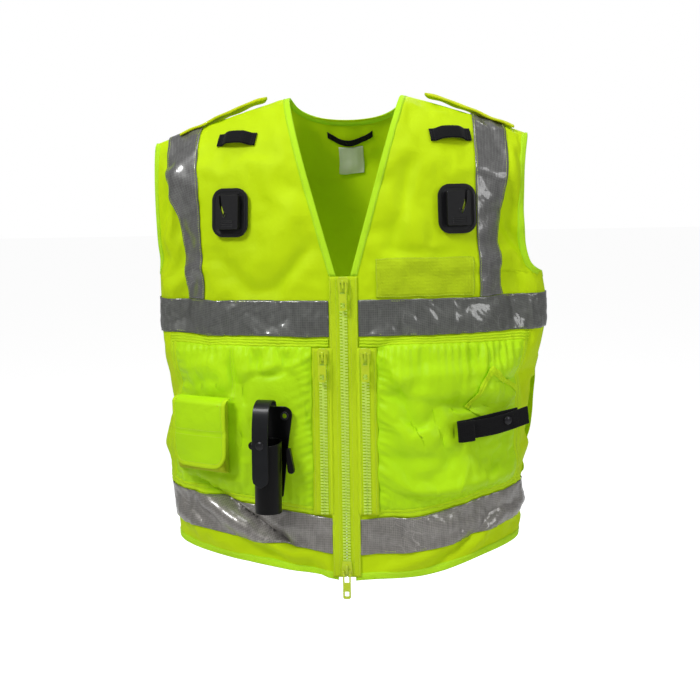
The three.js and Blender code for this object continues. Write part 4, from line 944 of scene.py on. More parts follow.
def set_along(name, lines, piece, pitch, material, unevenness=0.0, seed=1):
    """Copies of a piece along lines, each given as points and outward directions in millimetres."""
    mesh = bpy.data.meshes.new(name)
    verts, outs, edges = [], [], []
    for points, outward in lines:
        first = len(verts)
        verts += (np.asarray(points) * 0.001).tolist()
        outs += (np.asarray(outward) + 0 * np.asarray(points)).tolist()
        edges += [(first + k, first + k + 1) for k in range(len(points) - 1)]
    mesh.from_pydata(verts, edges, [])
    mesh.attributes.new("outward", "FLOAT_VECTOR", "POINT").data.foreach_set("vector", np.ravel(outs))
    carrier = placed(f"{name}_lines", mesh)
    modifier = carrier.modifiers.new("pieces", "NODES")
    modifier.node_group = repeats
    values = {"Piece": piece, "Pitch": pitch * 0.001, "Unevenness": unevenness, "Seed": seed,
              "Finish": material}
    for item in repeats.interface.items_tree:
        if item.name in values and item.in_out == "INPUT":
            modifier[item.identifier] = values[item.name]
    evaluated = carrier.evaluated_get(bpy.context.evaluated_depsgraph_get())
    made = placed(name, bpy.data.meshes.new_from_object(evaluated))
    bpy.data.objects.remove(carrier, do_unlink=True)
    bpy.data.objects.remove(piece, do_unlink=True)
    return made


def skin(rings, count):
    """The faces between rings of points."""
    steps = [(r * count, k, (k + 1) % count) for r in range(rings - 1) for k in range(count)]
    return [(first + k, first + after, first + count + after, first + count + k) for first, k, after in steps]


def tooth(hand):
    """One tooth, 2.4 mm tall: a shank round the cord and a wider head past the middle."""
    outline = [(5.2, 1.3), (2.8, 1.3), (1.4, 1.0), (0.6, 1.5), (-0.6, 1.55), (-1.4, 1.0), (-1.6, 0)]
    ring = outline + [(x, -y) for x, y in outline[-2::-1]]
    verts = [(z * 0.001, hand * x * 0.001, out * 0.001) for out, k in ((-1.25, 1.0), (1.4, 1.0), (2.0, 0.75))
             for x, z in [(a if a > 4 else a * (0.9 + 0.1 * k), b * k) for a, b in ring]]
    n = len(ring)
    faces = skin(3, n) + [tuple(range(2 * n, 3 * n)), tuple(range(n - 1, -1, -1))]
    mesh = bpy.data.meshes.new("tooth")
    mesh.from_pydata(verts, [], faces)
    shape = bmesh.new()
    shape.from_mesh(mesh)
    bmesh.ops.recalc_face_normals(shape, faces=shape.faces)
    shape.to_mesh(mesh)
    shape.free()
    return placed("tooth", mesh)


tooth_plastic = plastic("tooth plastic", (0.66, 0.88, 0.13), roughness=0.32, coat=0.3, glow=0.05, tone=0.92)


def zip_teeth(name, zip_name, hand, replaced):
    local, length = zips[zip_name]
    start = -1.0 if hand < 0 else -1.0 - TOOTH_PITCH / 2
    z = np.array([start, -length + 1.5])
    # The line runs down, so the tooth's own Y points to the wearer's right of it.
    points = at_frame(local, 0, 0, z)
    outward = np.repeat([-local[1][1]], 2, 0)
    teeth = set_along(name, [(points, outward)], tooth(hand), TOOTH_PITCH, tooth_plastic)
    finish_piece(teeth, "vest", None, replaced, smooth_angle=38)


for name, hand in (("right", -1), ("left", 1)):
    zip_teeth(f"teeth_{name}_side", "main", hand, [f"zip_teeth_{name}"])


def hard_copy(name, nodes_used, body, material, bevel):
    """A fitting's hard pieces, merged, with worn edges."""
    shape = bmesh.new()
    for used in nodes_used:
        shape.from_mesh(frame["nodes"][used].data)
    bmesh.ops.remove_doubles(shape, verts=shape.verts, dist=2e-6)
    bmesh.ops.dissolve_limit(shape, angle_limit=math.radians(1.0), verts=shape.verts, edges=shape.edges)
    mesh = bpy.data.meshes.new(name)
    shape.to_mesh(mesh)
    shape.free()
    obj = placed(name, mesh)
    edge = obj.modifiers.new("worn edges", "BEVEL")
    edge.width, edge.segments, edge.limit_method = bevel * 0.001, 2, "ANGLE"
    edge.angle_limit = math.radians(30)
    edge.use_clamp_overlap = True
    return finish_piece(obj, body, material, nodes_used, smooth_angle=40)


lacquer = plastic("yellow lacquer", (0.60, 0.76, 0.015), roughness=0.28, coat=0.6, glow=0.03, relief=0.15,
                  grain=500.0)
body_of_node = {n: b for b, held in frame["record"]["behaviour"]["bodies"].items() for n in held}
for place in ("top", "bottom", "pocket_right", "pocket_left"):
    for used in (f"{place}_slider", f"{place}_pull"):
        hard_copy(f"{used}_lacquered", [used], body_of_node[used], lacquer, bevel=0.32)

# ======== Front pockets ========
# Each pocket is a loose bag of lighter nylon, gathered into bands on three sides and opening at a zip
# beside the front edge. It stands off the shell and puckers along its seams.
POCKET_IN, POCKET_OUT, POCKET_TOP, BAND = 45.5, 248.0, -338.0, 11.0
PUFF, POCKET_LIFT = 11.0, 2.1
POCKET_GREEN = (0.50, 0.86, 0.008)
nylon = woven("pocket nylon", POCKET_GREEN, shade=0.88, pitch=0.0006, roughness=0.42, depth=0.10,
              crumpled=0.5)


def pocket_puff(x, z):
    foot = hem_top(x) + BAND
    u = np.clip((np.abs(x) - POCKET_IN) / (POCKET_OUT - POCKET_IN), 0, 1)
    v = np.clip((z - foot) / (POCKET_TOP - BAND - foot), 0, 1)
    return PUFF * np.maximum(np.sin(math.pi * u) * np.sin(math.pi * v), 0) ** 0.6


BAG_CREASES = {
    -1: [((-118, -352), (-132, -420), 9, -3.2), ((-157, -352), (-157, -520), 5, -3.0),
         ((-66, -356), (-112, -398), 8, -2.6), ((-70, -372), (-140, -384), 8, 2.6),
         ((-172, -356), (-238, -372), 7, -2.4), ((-60, -440), (-72, -520), 7, 2.4),
         ((-150, -540), (-240, -528), 8, 2.2), ((-130, -398), (-60, -430), 10, 2.6)],
    1: [((66, -392), (232, -380), 11, 3.0), ((60, -415), (150, -432), 9, -2.8),
        ((70, -460), (150, -486), 12, 3.0), ((60, -500), (236, -508), 10, -3.0),
        ((90, -540), (240, -536), 9, 3.0), ((168, -352), (176, -386), 5, -2.6),
        ((190, -352), (186, -384), 5, 2.6), ((205, -352), (216, -382), 5, -2.4),
        ((110, -352), (100, -400), 9, -2.0), ((56, -360), (84, -410), 8, 2.2),
        ((150, -430), (226, -470), 10, -2.2), ((188, -494), (246, -482), 7, -3.0),
        ((221, -503), (196, -537), 6, -3.2), ((86, -480), (119, -456), 7, 2.6),
        ((150, -404), (158, -434), 9, -2.6), ((160, -518), (148, -550), 6, 2.4),
        ((112, -524), (150, -500), 8, -2.4)],
}


def puckers(hand, x, z):
    """Short gathers that die out away from the seam that makes them."""
    ax = np.abs(x)
    from_top, from_foot = POCKET_TOP - BAND - z, z - (hem_top(x) + BAND)
    from_in, from_out = ax - POCKET_IN, POCKET_OUT - ax
    strong = 1 + 1.2 * (hand > 0) * bump(ax, 188, 34)
    reach = 15 + 9 * (hand > 0)
    rows = 1.1 * strong * np.sin(ax * 0.58 + 1.4 * np.sin(ax * 0.09)) * np.exp(-from_top / reach)
    rows += 0.8 * np.sin(ax * 0.5 + 1.7 * np.sin(ax * 0.07 + 2)) * np.exp(-from_foot / 12)
    slant = z + 0.45 * from_in
    rows += 1.2 * np.sin(slant * 0.52 + 1.5 * np.sin(z * 0.08)) * np.exp(-from_in / 13)
    rows += 1.0 * np.sin(z * 0.5 + 1.5 * np.sin(z * 0.07)) * np.exp(-from_out / 12)
    edge = np.minimum(np.minimum(from_top, from_foot), np.minimum(from_in, from_out))
    return 1.6 * rows * smooth(edge / 5)


def bag_freedom(hand, x, z):
    """Fittings on a bag press it nearly flat."""
    return loosened(x, z, ON_BAG[hand], 12, 0.95)


def bag_height(hand, x, z):
    """How far a bag stands off the front before it settles; a crease never reaches the cloth beneath."""
    lift = 1.65 * sum(crease(x, z, *c) for c in BAG_CREASES[hand]) * bag_freedom(hand, x, z)
    foot = np.minimum(POCKET_TOP - BAND - z, z - (hem_top(x) + BAND))
    side = np.minimum(np.abs(x) - POCKET_IN, POCKET_OUT - np.abs(x))
    inside = smooth(np.minimum(foot, side) / 12)
    return np.maximum(POCKET_LIFT + pocket_puff(x, z) + lift * inside + puckers(hand, x, z), 1.7)


def bag_start(hand, x, z):
    return lay(FRONT, x, z, bag_height(hand, x, z))


BAG_ROWS, BAG_COLUMNS = 74, 92
bag_fields = {}


def bag_places(hand):
    u = np.linspace(0, 1, BAG_COLUMNS)[None]
    v = np.linspace(0, 1, BAG_ROWS)[:, None]
    x = mix(POCKET_IN - 1.0, POCKET_OUT + 1.0, u) + 0 * v
    z = mix(POCKET_TOP - BAND + 1.0, hem_top(x) + BAND - 1.0, v)
    return hand * x, z


def bag_at(hand, x, z, off=0.0):
    """Points a small height above a settled bag."""
    x, z = np.asarray(x, float), np.asarray(z, float)
    top, foot = POCKET_TOP - BAND + 1.0, hem_top(x) + BAND - 1.0
    c = np.clip((np.abs(x) - POCKET_IN + 1) / (POCKET_OUT - POCKET_IN + 2), 0, 0.9999) * (BAG_COLUMNS - 1)
    r = np.clip((top - z) / (top - foot), 0, 0.9999) * (BAG_ROWS - 1)
    out = normals_of(smooth_body, FRONT, *place_of(x, z))
    return bag_start(hand, x, z) + between(bag_fields[hand], r, c) + out * np.asarray(off, float)[..., None]


def ridged(v, ridges, height):
    """The rise of piped rows across a band."""
    return height * np.abs(np.sin(math.pi * ridges * v)) ** 0.7


band_cloth = woven("pocket bands", (0.56, 0.84, 0.012), shade=0.86, pitch=0.0011, roughness=0.75, depth=0.5)
for name, hand in (("right", -1), ("left", 1)):
    x, z = bag_places(hand)
    start = bag_start(hand, x, z)
    start = start if hand > 0 else start[:, ::-1]
    held = np.zeros_like(x)
    held[:2] = held[-2:] = 1
    held[:, :2] = held[:, -2:] = 1
    held = np.maximum(held, np.round(0.7 * (1 - bag_freedom(hand, x, z)), 2))
    moved = let_go(start, held if hand > 0 else held[:, ::-1], 0.03, 0.12, 0.1, 6.0, bending=1.5, soften=6)
    bag_fields[hand] = moved if hand > 0 else moved[:, ::-1]
    out = normals_of(smooth_body, FRONT, *place_of(x, z))
    sunk = np.minimum(bag_height(hand, x, z) + (bag_fields[hand] * out).sum(-1) - 1.6, 0)
    bag_fields[hand] = bag_fields[hand] - out * sunk[..., None]
    grid = bag_start(hand, x, z) + bag_fields[hand]
    bag = solid_sheet(f"bag_{name}", grid, 0.5, (0, -1, 0))
    finish_piece(bag, "vest", nylon, [f"pocket_bag_{name}"])

    v = np.linspace(0, 1, 19)[:, None]
    x = hand * np.linspace(21.5, POCKET_OUT + BAND + 0.5, 130)[None] + 0 * v
    z = POCKET_TOP + 0.5 - (BAND + 1.0) * v + 0.25 * np.sin(x * 0.5)
    top_band = lay(FRONT, x, z, 1.6 + ridged(v, 3, 1.7) + 0.25 * np.sin(x * 0.61))
    strip = solid_sheet(f"top_band_{name}", top_band, 0.6, (0, -1, 0))
    finish_piece(strip, "vest", band_cloth, [f"pocket_bands_{name}"])

    u = np.linspace(0, 1, 13)[None]
    v = np.linspace(0, 1, 60)[:, None]
    x_out = POCKET_OUT - 0.5 + (BAND + 1.5) * u + 0 * v
    z = mix(POCKET_TOP - BAND + 0.5, hem_top(x_out) + 1.0, v)
    outer = lay(FRONT, hand * x_out, z, 1.6 + ridged(u, 2, 1.3) + 0.3 * np.sin(z * 0.5) * u)
    strip = solid_sheet(f"outer_band_{name}", outer, 0.6, (0, -1, 0))
    finish_piece(strip, "vest", band_cloth)

    v = np.linspace(0, 1, 13)[:, None]
    x = hand * np.linspace(POCKET_IN - 1, POCKET_OUT + BAND, 120)[None] + 0 * v
    z = hem_top(x) + 1.0 + (BAND + 0.5) * (1 - v)
    foot = lay(FRONT, x, z, 1.6 + ridged(v, 2, 1.2) + 0.3 * np.sin(x * 0.45))
    strip = solid_sheet(f"foot_band_{name}", foot, 0.6, (0, -1, 0))
    finish_piece(strip, "vest", band_cloth)

    for side_name, tape_hand, reach in (("inner", -hand, 13.4), ("outer", hand, 16.4)):
        replaced = [f"pocket_zip_tape_{name}"] if side_name == "inner" else []
        zip_tape(f"pocket_zip_{name}_{side_name}", name, tape_hand, reach, replaced, droop=2.6)
    for tooth_side, tooth_hand in (("a", -1), ("b", 1)):
        replaced = [f"pocket_teeth_{name}"] if tooth_side == "a" else []
        zip_teeth(f"pocket_teeth_{name}_{tooth_side}", name, tooth_hand, replaced)

# ======== Phone pocket with flap ========
# A small gusseted pouch sewn on the right bag. A double flap with a bound edge and a seam across its
# middle closes over it, and a strip of hook tape inside holds it down.
FLAP_HALF, FLAP_LONG, POUCH_HALF, POUCH_TALL, POUCH_DEEP = 44.5, 97.0, 42.0, 106.0, 19.0
phone = frame_on(-194.0, -477.0, PUFF + 4.0)
gusset = woven("pouch cloth", (0.46, 0.60, 0.010), shade=0.85, pitch=0.0009, roughness=0.7, depth=0.5,
               glow=0.03)


def pouch_out(s):
    """How far out the pouch stands across its width, from its sewn edge round to the other."""
    return np.interp(s, [0, 0.16, 0.20, 0.24, 0.76, 0.80, 0.84, 1], [0, 0.80, 0.95, 1, 1, 0.95, 0.80, 0])


def pouch_across(s):
    return np.interp(s, [0, 0.16, 0.24, 0.76, 0.84, 1], [-1, -1, -0.86, 0.86, 1, 1]) * POUCH_HALF


s = np.linspace(0, 1, 61)[None]
t = np.linspace(0, 1, 44)[:, None]
level = mix(POUCH_TALL / 2 - 4, -POUCH_TALL / 2, t)
closing = np.sqrt(np.clip(1 - np.clip((t - 0.86) / 0.14, 0, 1) ** 2, 0, 1))
sag = 1 - 0.22 * np.sin(math.pi * t) * np.sin(math.pi * s)
front_y = -POUCH_DEEP * pouch_out(s) * closing * sag + 0.9 * np.sin(level * 0.16 + s * 5) * pouch_out(s)
outer_points = at_frame(phone, pouch_across(s), front_y, level)
root_places = at_frame(phone, pouch_across(s), 0, level)
roots = bag_at(-1, root_places[..., 0], root_places[..., 2], 0.8)
share = np.minimum(pouch_out(s) * closing * 1.25, 1)[..., None]
pouch = solid_sheet("pouch", roots * (1 - share) + outer_points * share, 0.9, (-0.4, -0.9, 0))
finish_piece(pouch, "vest", gusset, ["phone_pouch"])

hinge = (at_frame(phone, 0, -1.0, POUCH_TALL / 2 + 3), phone[1])


def flap_at(x, s, off=0.0):
    """The flap's outer face: across, and run from its hinge over the pouch's mouth and down."""
    bend = np.clip(s / 24, 0, 1) * QUARTER
    y = -(POUCH_DEEP + 1.6) * np.sin(bend) - 1.1 * np.sin(np.clip((s - 24) / 89, 0, 1) * math.pi)
    z = -9.0 * (1 - np.cos(bend)) + 1.0 - np.maximum(s - 24, 0)
    y = y + 4.2 * (np.abs(x) / FLAP_HALF) ** 2.4 * smooth(s / 20) + 0.7 * np.sin(s * 0.09 + x * 0.05)
    y = y + 1.2 * bump(s, 64, 3) * (np.abs(x) < 50)
    return at_frame(hinge, x, y - off, z)


RUN = 24 + FLAP_LONG - 9
CORNER = 22


def flap_half(s):
    """Half the flap's width, drawn in round its lower corners."""
    cut = CORNER - np.sqrt(np.maximum(CORNER**2 - (s - RUN + CORNER) ** 2, 0))
    return FLAP_HALF - np.where(s > RUN - CORNER, cut, 0)


def down_flap(first, straight, near, turning):
    """Places down the flap, closer together round its lower corners."""
    corner = RUN - CORNER + CORNER * np.sin(np.linspace(near, QUARTER, turning))
    return np.concatenate([np.linspace(first, RUN - CORNER, straight), corner])


s = down_flap(0, 60, 0.05, 16)[:, None]
x = flap_half(s) * np.linspace(-1, 1, 41)[None]
flap = solid_sheet("flap", flap_at(x, s), 2.0, (-0.4, -0.9, 0))
finish_piece(flap, "phone_flap", nylon, ["phone_flap"])


def squared(v, share):
    """Draws a sine or a cosine out towards a square's corners."""
    return np.sign(v) * np.abs(v) ** share


def edge_tube(name, centres, sideways, outward, wide, tall):
    """A rounded ribbon or piping along a line."""
    angle = np.linspace(0, 2 * math.pi, 10, endpoint=False)
    a, b = squared(np.cos(angle), 0.7) * wide / 2, squared(np.sin(angle), 0.7) * tall / 2
    rings = centres[:, None] + sideways[:, None] * a[None, :, None] + outward[:, None] * b[None, :, None]
    return tube_object(name, rings, ends=True)


def line_frames(points, outward):
    sideways = np.cross(outward, direction_of(points))
    return sideways / np.maximum(np.linalg.norm(sideways, axis=-1, keepdims=True), 1e-9)


edge_s = down_flap(6, 34, 0.06, 12)
along_foot = np.linspace(-FLAP_HALF + 21, FLAP_HALF - 21, 14)[1:-1]
rim_x = np.concatenate([-flap_half(edge_s), along_foot, flap_half(edge_s)[::-1]])
rim_s = np.concatenate([edge_s, np.full(12, RUN), edge_s[::-1]])
rim = flap_at(rim_x * 0.972, np.minimum(rim_s, RUN - 1.2), -1.0)
flap_out = np.repeat([-phone[1][1]], len(rim), 0)
rim_piece = edge_tube("flap_binding", rim, line_frames(rim, flap_out), flap_out, 7.0, 3.3)
finish_piece(rim_piece, "phone_flap", band_cloth)

hook_x, hook_z = np.linspace(-22, 22, 12)[None], np.linspace(-83, -63, 8)[:, None]
hook_grid = at_frame(hinge, hook_x, -(POUCH_DEEP - 0.9) + 0 * hook_z, hook_z)
hooks = solid_sheet("hook_strip", hook_grid, 0.7, (-0.4, -0.9, 0))
webbing = woven("black webbing", (0.007, 0.007, 0.008), shade=0.7, pitch=0.0016, roughness=0.75, depth=1.0,
                glow=0.0, sheen=0.08)
finish_piece(hooks, "phone_flap", webbing, ["flap_hook_patch"])

# ======== Canister holder ========
# A moulded black cup on a plate that two eyelets hold to the right bag. A thick strap arches over the
# canister to a snap, and a spring arm stands beside the cup.
gloss = plastic("glossy black plastic", (0.0028, 0.0028, 0.0032), roughness=0.3, coat=0.22, relief=0.06,
                grain=300.0, mirror=0.16)
hide = plastic("dark strap", (0.006, 0.007, 0.009), roughness=0.4, coat=0.12, relief=0.35, grain=700.0,
               tone=0.7, mirror=0.3)
oxide = plastic("blackened metal", (0.045, 0.045, 0.05), roughness=0.3, metallic=0.8, relief=0.05, tone=0.7)
hard_copy("cup_plate", ["holder_plate"], "vest", gloss, bevel=0.7)
hard_copy("cup", ["holder_cup"], "vest", gloss, bevel=0.45)
hard_copy("spring_arm", ["holder_side_arm"], "vest", gloss, bevel=0.9)
hard_copy("eyelets", ["holder_eyelet_outer", "holder_eyelet_inner"], "vest", oxide, bevel=0.3)
hard_copy("arched_strap", ["holder_strap"], "holder_strap", hide, bevel=0.6)
hard_copy("strap_snap", ["holder_snap_cap"], "holder_strap", oxide, bevel=0.15)

# ======== Diamond patch and snap strap ========
# On the left bag a square patch is sewn on its corner, its edges turned and stitched twice. Across its
# foot a doubled strap of black webbing folds round at its inner end and snaps to itself.
corner_angle = np.radians(10 + 90 * np.arange(4))
corners = np.stack([205 + 47 * np.cos(corner_angle) * 0.92, -426 + 47 * np.sin(corner_angle)], -1)
a, b = np.linspace(0, 1, 41)[None, :, None], np.linspace(0, 1, 41)[:, None, None]
spots = ((1 - a) * (1 - b) * corners[0] + a * (1 - b) * corners[1]
         + a * b * corners[2] + (1 - a) * b * corners[3])
hemmed = np.minimum(np.minimum(a, 1 - a), np.minimum(b, 1 - b))[..., 0]
bowed = 1.3 * np.sin(math.pi * a[..., 0]) * np.sin(math.pi * b[..., 0])
patch_lift = 1.6 + 0.7 * smooth((0.11 - hemmed) / 0.02) + bowed
patch = solid_sheet("diamond", bag_at(1, spots[..., 0], spots[..., 1], patch_lift), 0.9, (0.4, -0.9, 0))
finish_piece(patch, "vest", nylon, ["diamond_patch"])

for k, (start, end) in enumerate(((2, 1), (1, 0))):
    along = corners[end] - corners[start]
    inward_step = corners.mean(0) - (corners[start] + corners[end]) / 2
    inward_step *= 7.0 / np.linalg.norm(inward_step)
    s, t = np.linspace(0.0, 1.0, 60)[:, None, None], np.linspace(-0.1, 1, 11)[None, :, None]
    spots = corners[start] + along * s + inward_step * t
    rise = 3.2 + 0.8 * np.abs(np.sin(2 * math.pi * t[..., 0])) + 0.15 * np.sin(s[..., 0] * 60)
    edge_grid = bag_at(1, spots[..., 0], spots[..., 1], rise)
    strip = solid_sheet(f"diamond_edge_{k + 1}", edge_grid, 0.8, (0.4, -0.9, 0))
    finish_piece(strip, "vest", band_cloth)

strap_frame = frame_on(197.0, -460.0, PUFF + 7.5, -math.atan(14.0 / 112.0))


def smooth_path(points, count):
    points = np.array(points, float)
    reach = lengths_along(points)
    t = np.linspace(0, reach[-1], count)
    path = np.stack([np.interp(t, reach, points[:, k]) for k in range(points.shape[1])], -1)
    for _ in range(6):
        path[1:-1] = (path[:-2] + 2 * path[1:-1] + path[2:]) / 4
    return path


def ribbon_in(name, local, path, width, thickness, outward, roll=0.0, rows=9, sag=0.0):
    """A length of webbing whose path lies in a frame's own XY plane."""
    v = np.linspace(-1, 1, rows)[None]
    curl = roll * v**2
    x, y = path[:, :1] + 0 * v, path[:, 1:2] + curl
    drop = sag * np.sin(math.pi * np.clip(path[:, :1] / max(path[:, 0].max(), 1), 0, 1))
    return solid_sheet(name, at_frame(local, x, y, v * width / 2 - drop), thickness, outward, 0)


base_path = smooth_path([(-50, 0.8), (-10, 1.2), (42, 0.8)], 50)
base = ribbon_in("snap_strap_under", strap_frame, base_path, 25.0, 1.5, -strap_frame[1][1])
finish_piece(base, "vest", webbing, ["snap_strap_base"])
free_origin = (at_frame(strap_frame, -51.6, 0.8, 0), strap_frame[1])
free_path = smooth_path([(0, 0), (-2.6, -0.4), (-3.7, -1.8), (-3.7, -3.6), (-2.4, -5.0), (2, -5.5),
                         (22, -5.9), (48, -6.9), (80, -6.0), (107, -5.4)], 110)
free = ribbon_in("snap_strap_over", free_origin, free_path, 25.0, 1.5, strap_frame[1][1], roll=0.35, sag=3.5)
finish_piece(free, "snap_strap_free", webbing, ["snap_strap_free"])
fold_path = smooth_path([(4, -1.0), (-4, -1.2), (-7, -2.2), (-9, -5.0), (-8.4, -8.6), (-4, -10.6),
                         (4, -11.0), (11, -10.4), (13.5, -9.0)], 70)
fold_frame = (at_frame(strap_frame, -47.0, 1.2, -1.5), frame_on(158.0, -464.0, 0.0, math.radians(-4))[1])
fold = ribbon_in("snap_strap_end", fold_frame, fold_path, 29.0, 1.5, strap_frame[1][1], roll=0.4)
finish_piece(fold, "snap_strap_free", webbing)
hard_copy("snap_stud_metal", ["snap_stud"], "vest", oxide, bevel=0.15)
hard_copy("snap_cap_metal", ["snap_cap"], "snap_strap_free", oxide, bevel=0.15)

# ======== Radio docks ========
# Moulded dock plates with rounded corners are sewn to the chest. Each carries a raised receiver with a
# slanting slot for a radio's tongue, and a small release pip.
charcoal = plastic("charcoal plastic", (0.009, 0.009, 0.010), roughness=0.42, coat=0.15, relief=0.3,
                   grain=800.0, mirror=0.28)
pip_green = plastic("pip plastic", (0.50, 0.66, 0.02), roughness=0.4, glow=0.05)


def dock_frame(hand):
    return frame_on(hand * 156.0, -163.0, 4.6)


for name, hand in (("right", -1), ("left", 1)):
    hard_copy(f"dock_plate_{name}", [f"dock_flange_{name}"], "vest", charcoal, bevel=0.5)
    hard_copy(f"dock_face_{name}", [f"dock_receiver_{name}"], "vest", charcoal, bevel=0.6)
    dock = dock_frame(hand)
    angle = np.linspace(0, 2 * math.pi, 24, endpoint=False)
    rings = []
    for radius, out in ((3.0, 11.2), (3.0, 12.5), (2.6, 12.9), (1.9, 12.9), (1.7, 12.4), (1.7, 11.2)):
        rings.append(at_frame(dock, hand * 2.0 + radius * np.cos(angle), -out, -3 + radius * np.sin(angle)))
    eye = tube_object(f"dock_eye_{name}", np.stack(rings, 1))
    finish_piece(eye, "vest", charcoal)
    for k in range(4):
        rib_x, rib_y = np.linspace(-10, 10, 12), np.array([0.0, 0.45, 0.62, 0.45, 0.0])
        rib_z = -12.5 - 2.4 * k + np.array([-0.7, -0.45, 0, 0.45, 0.7])
        rib = at_frame(dock, rib_x[:, None], -12.2 - rib_y[None], rib_z[None])
        rib_piece = solid_sheet(f"dock_rib_{name}_{k + 1}", rib, 0.5, -dock[1][1])
        finish_piece(rib_piece, "vest", charcoal)
    u, v = np.linspace(-1, 1, 9)[None], np.linspace(0, 1, 12)[:, None]
    pip_x = hand * (6.6 + 1.6 * v) + u * (1.0 + 0.8 * np.sin(math.pi * v))
    pip_grid = at_frame(dock, pip_x, -9.0 - 0.4 * (1 - u**2) + 0 * v, mix(-4, 12, v))
    pip = solid_sheet(f"dock_pip_{name}", pip_grid, 0.8, -dock[1][1])
    finish_piece(pip, "vest", pip_green)

# ======== Chest loops ========
# Short lengths of black webbing whose ends are sewn down above the docks, bowed off the chest to
# take a clip.
def loop_frame(hand):
    return frame_on(hand * 149.0, -62.0, 2.6)


for name, hand in (("right", -1), ("left", 1)):
    seat = loop_frame(hand)
    bow = smooth_path([(-30, -0.2), (-22, -0.4), (-17, -4.4), (-12, -7.4), (0, -8.2), (12, -7.4),
                       (17, -4.4), (22, -0.4), (30, -0.2)], 70)
    loop = ribbon_in(f"loop_{name}", seat, bow, 20.0, 1.3, -seat[1][1], roll=0.5)
    finish_piece(loop, "vest", webbing, [f"chest_loop_{name}"])

# ======== Badge panel ========
# A strip of soft loop pile, sewn on flat above the left chest tape, that takes a name badge.
BADGE_LEFT, BADGE_RIGHT, BADGE_TOP, BADGE_FOOT = 45.0, 178.0, -229.0, -282.0
pile = woven("loop pile", (0.50, 0.68, 0.012), shade=0.86, pitch=0.0022, roughness=0.95, depth=0.9,
             glow=0.03, sheen=0.15, patch=40)
u, v = np.linspace(0, 1, 90)[None], np.linspace(0, 1, 42)[:, None]
x, z = mix(BADGE_LEFT, BADGE_RIGHT, u) + 0 * v, mix(BADGE_TOP, BADGE_FOOT, v) + 0 * u
rim_in = np.minimum(np.minimum(u, 1 - u) * (BADGE_RIGHT - BADGE_LEFT),
                    np.minimum(v, 1 - v) * (BADGE_TOP - BADGE_FOOT))
loops = 0.22 * np.sin(x * 2.1 + 2 * np.sin(z * 1.3)) * np.sin(z * 2.3 + 2 * np.sin(x * 0.9))
badge_grid = lay(FRONT, x, z, 2.4 + (0.7 + loops) * smooth((rim_in - 2.2) / 2))
badge = solid_sheet("badge_pile", badge_grid, 0.7, (0, -1, 0))
finish_piece(badge, "vest", pile, ["badge_panel"])

# ======== Epaulettes ========
# Double straps of shell cloth along each shoulder. The outer end is sewn into the armhole and the
# rounded end by the neck lifts off the shoulder.
# The shell cloth's colour is given here darker and oranger, as painted shade on the epaulettes.
epaulette_cloth = woven("epaulette cloth", (0.60, 0.70, 0.004), shade=0.9, pitch=0.0009, roughness=0.7,
                        depth=0.4)
for name, hand in (("right", -1), ("left", 1)):
    u, v = np.linspace(0, 1, 60)[:, None], np.linspace(-1, 1, 21)[None]
    x = mix(242.0, 115.0, u)
    half = 21 * (1 - 0.12 * u) * np.sqrt(np.clip(1 - np.clip((u - 0.88) / 0.125, 0, 1) ** 2, 0.06, 1))
    lift = 5.6 + 7.0 * smooth(u * 1.15) + 0.5 * np.sin(u * 17)
    y = SEAM_Y + half * v
    rim_in = smooth((np.abs(v) - 0.72) / 0.1) * -0.5
    z = shoulder_z(x) + lift - 3.2 * v**2 - 1 + 1.9 + 0.4 * np.sin(u * 23 + v * 2) + rim_in
    grid = np.stack([hand * x + 0 * v, y + 0 * u, z + 0 * u], -1)
    strap = solid_sheet(f"shoulder_strap_{name}", grid, 2.4, (0, 0, 1))
    finish_piece(strap, f"epaulette_{name}", epaulette_cloth, [f"epaulette_{name}"])

# ======== Inside the neck ========
# A ribbon loop to hang the vest by, and beneath it a small blank care label, both sewn inside the
# back below the nape.
u, v = np.linspace(-1, 1, 40)[None], np.linspace(0, 1, 7)[:, None]
x = 35.0 * u + 0 * v
z = -42.0 - 12.0 * np.cos(QUARTER * u) - 8.0 * v
hanger_grid = lay(BACK, x, z, -1.6 - 1.2 * np.cos(QUARTER * u) + 0 * v)
hanger = solid_sheet("hanging_loop", hanger_grid, 1.1, (0, -1, 0))
finish_piece(hanger, "vest", webbing, ["hanger_loop"])
label_cloth = woven("label satin", (0.72, 0.72, 0.68), shade=0.94, pitch=0.0005, roughness=0.4, depth=0.2,
                    glow=0.0)
u, v = np.linspace(-1, 1, 24)[None], np.linspace(0, 1, 22)[:, None]
label_grid = lay(BACK, 19.0 * u + 0 * v, -64.0 - 42.0 * v + 0 * u, -1.4 - 2.4 * v**2 + 0.5 * u * v)
label = solid_sheet("care_label", label_grid, 0.4, (0, -1, 0))
finish_piece(label, "vest", label_cloth)

# ======== Stitching ========
# Lockstitch in yellow-green thread: one row near the inner edge of each binding, one along both edges
# of every tape, and rows round the zips, patches and fittings.
STITCH_PITCH = 3.3
BINDING_ROW_IN, BINDING_ROW_OUT = 8.2, 1.75
TAPE_ROW_IN, TAPE_ROW_OUT = 2.2, 2.3


def stitch():
    """One bowed stitch of thread, lying along X."""
    rings, n = [], 6
    for x, rise, r in ((-1.35, -0.20, 0.10), (-0.9, 0.02, 0.2), (0, 0.12, 0.22), (0.9, 0.02, 0.2),
                       (1.35, -0.20, 0.10)):
        rings.append([(x * 0.001, r * math.cos(a) * 0.001, (rise + r * math.sin(a)) * 0.001)
                      for a in np.linspace(0, 2 * math.pi, n, endpoint=False)])
    verts = [p for ring in rings for p in ring]
    mesh = bpy.data.meshes.new("stitch")
    mesh.from_pydata(verts, [], [f[::-1] for f in skin(len(rings), n)])
    return placed("stitch", mesh)


def seam(side, x, z, off):
    x, z = np.broadcast_arrays(np.asarray(x, float), np.asarray(z, float))
    return lay(side, x, z, off), normals_of(settled, side, *place_of(x, z))


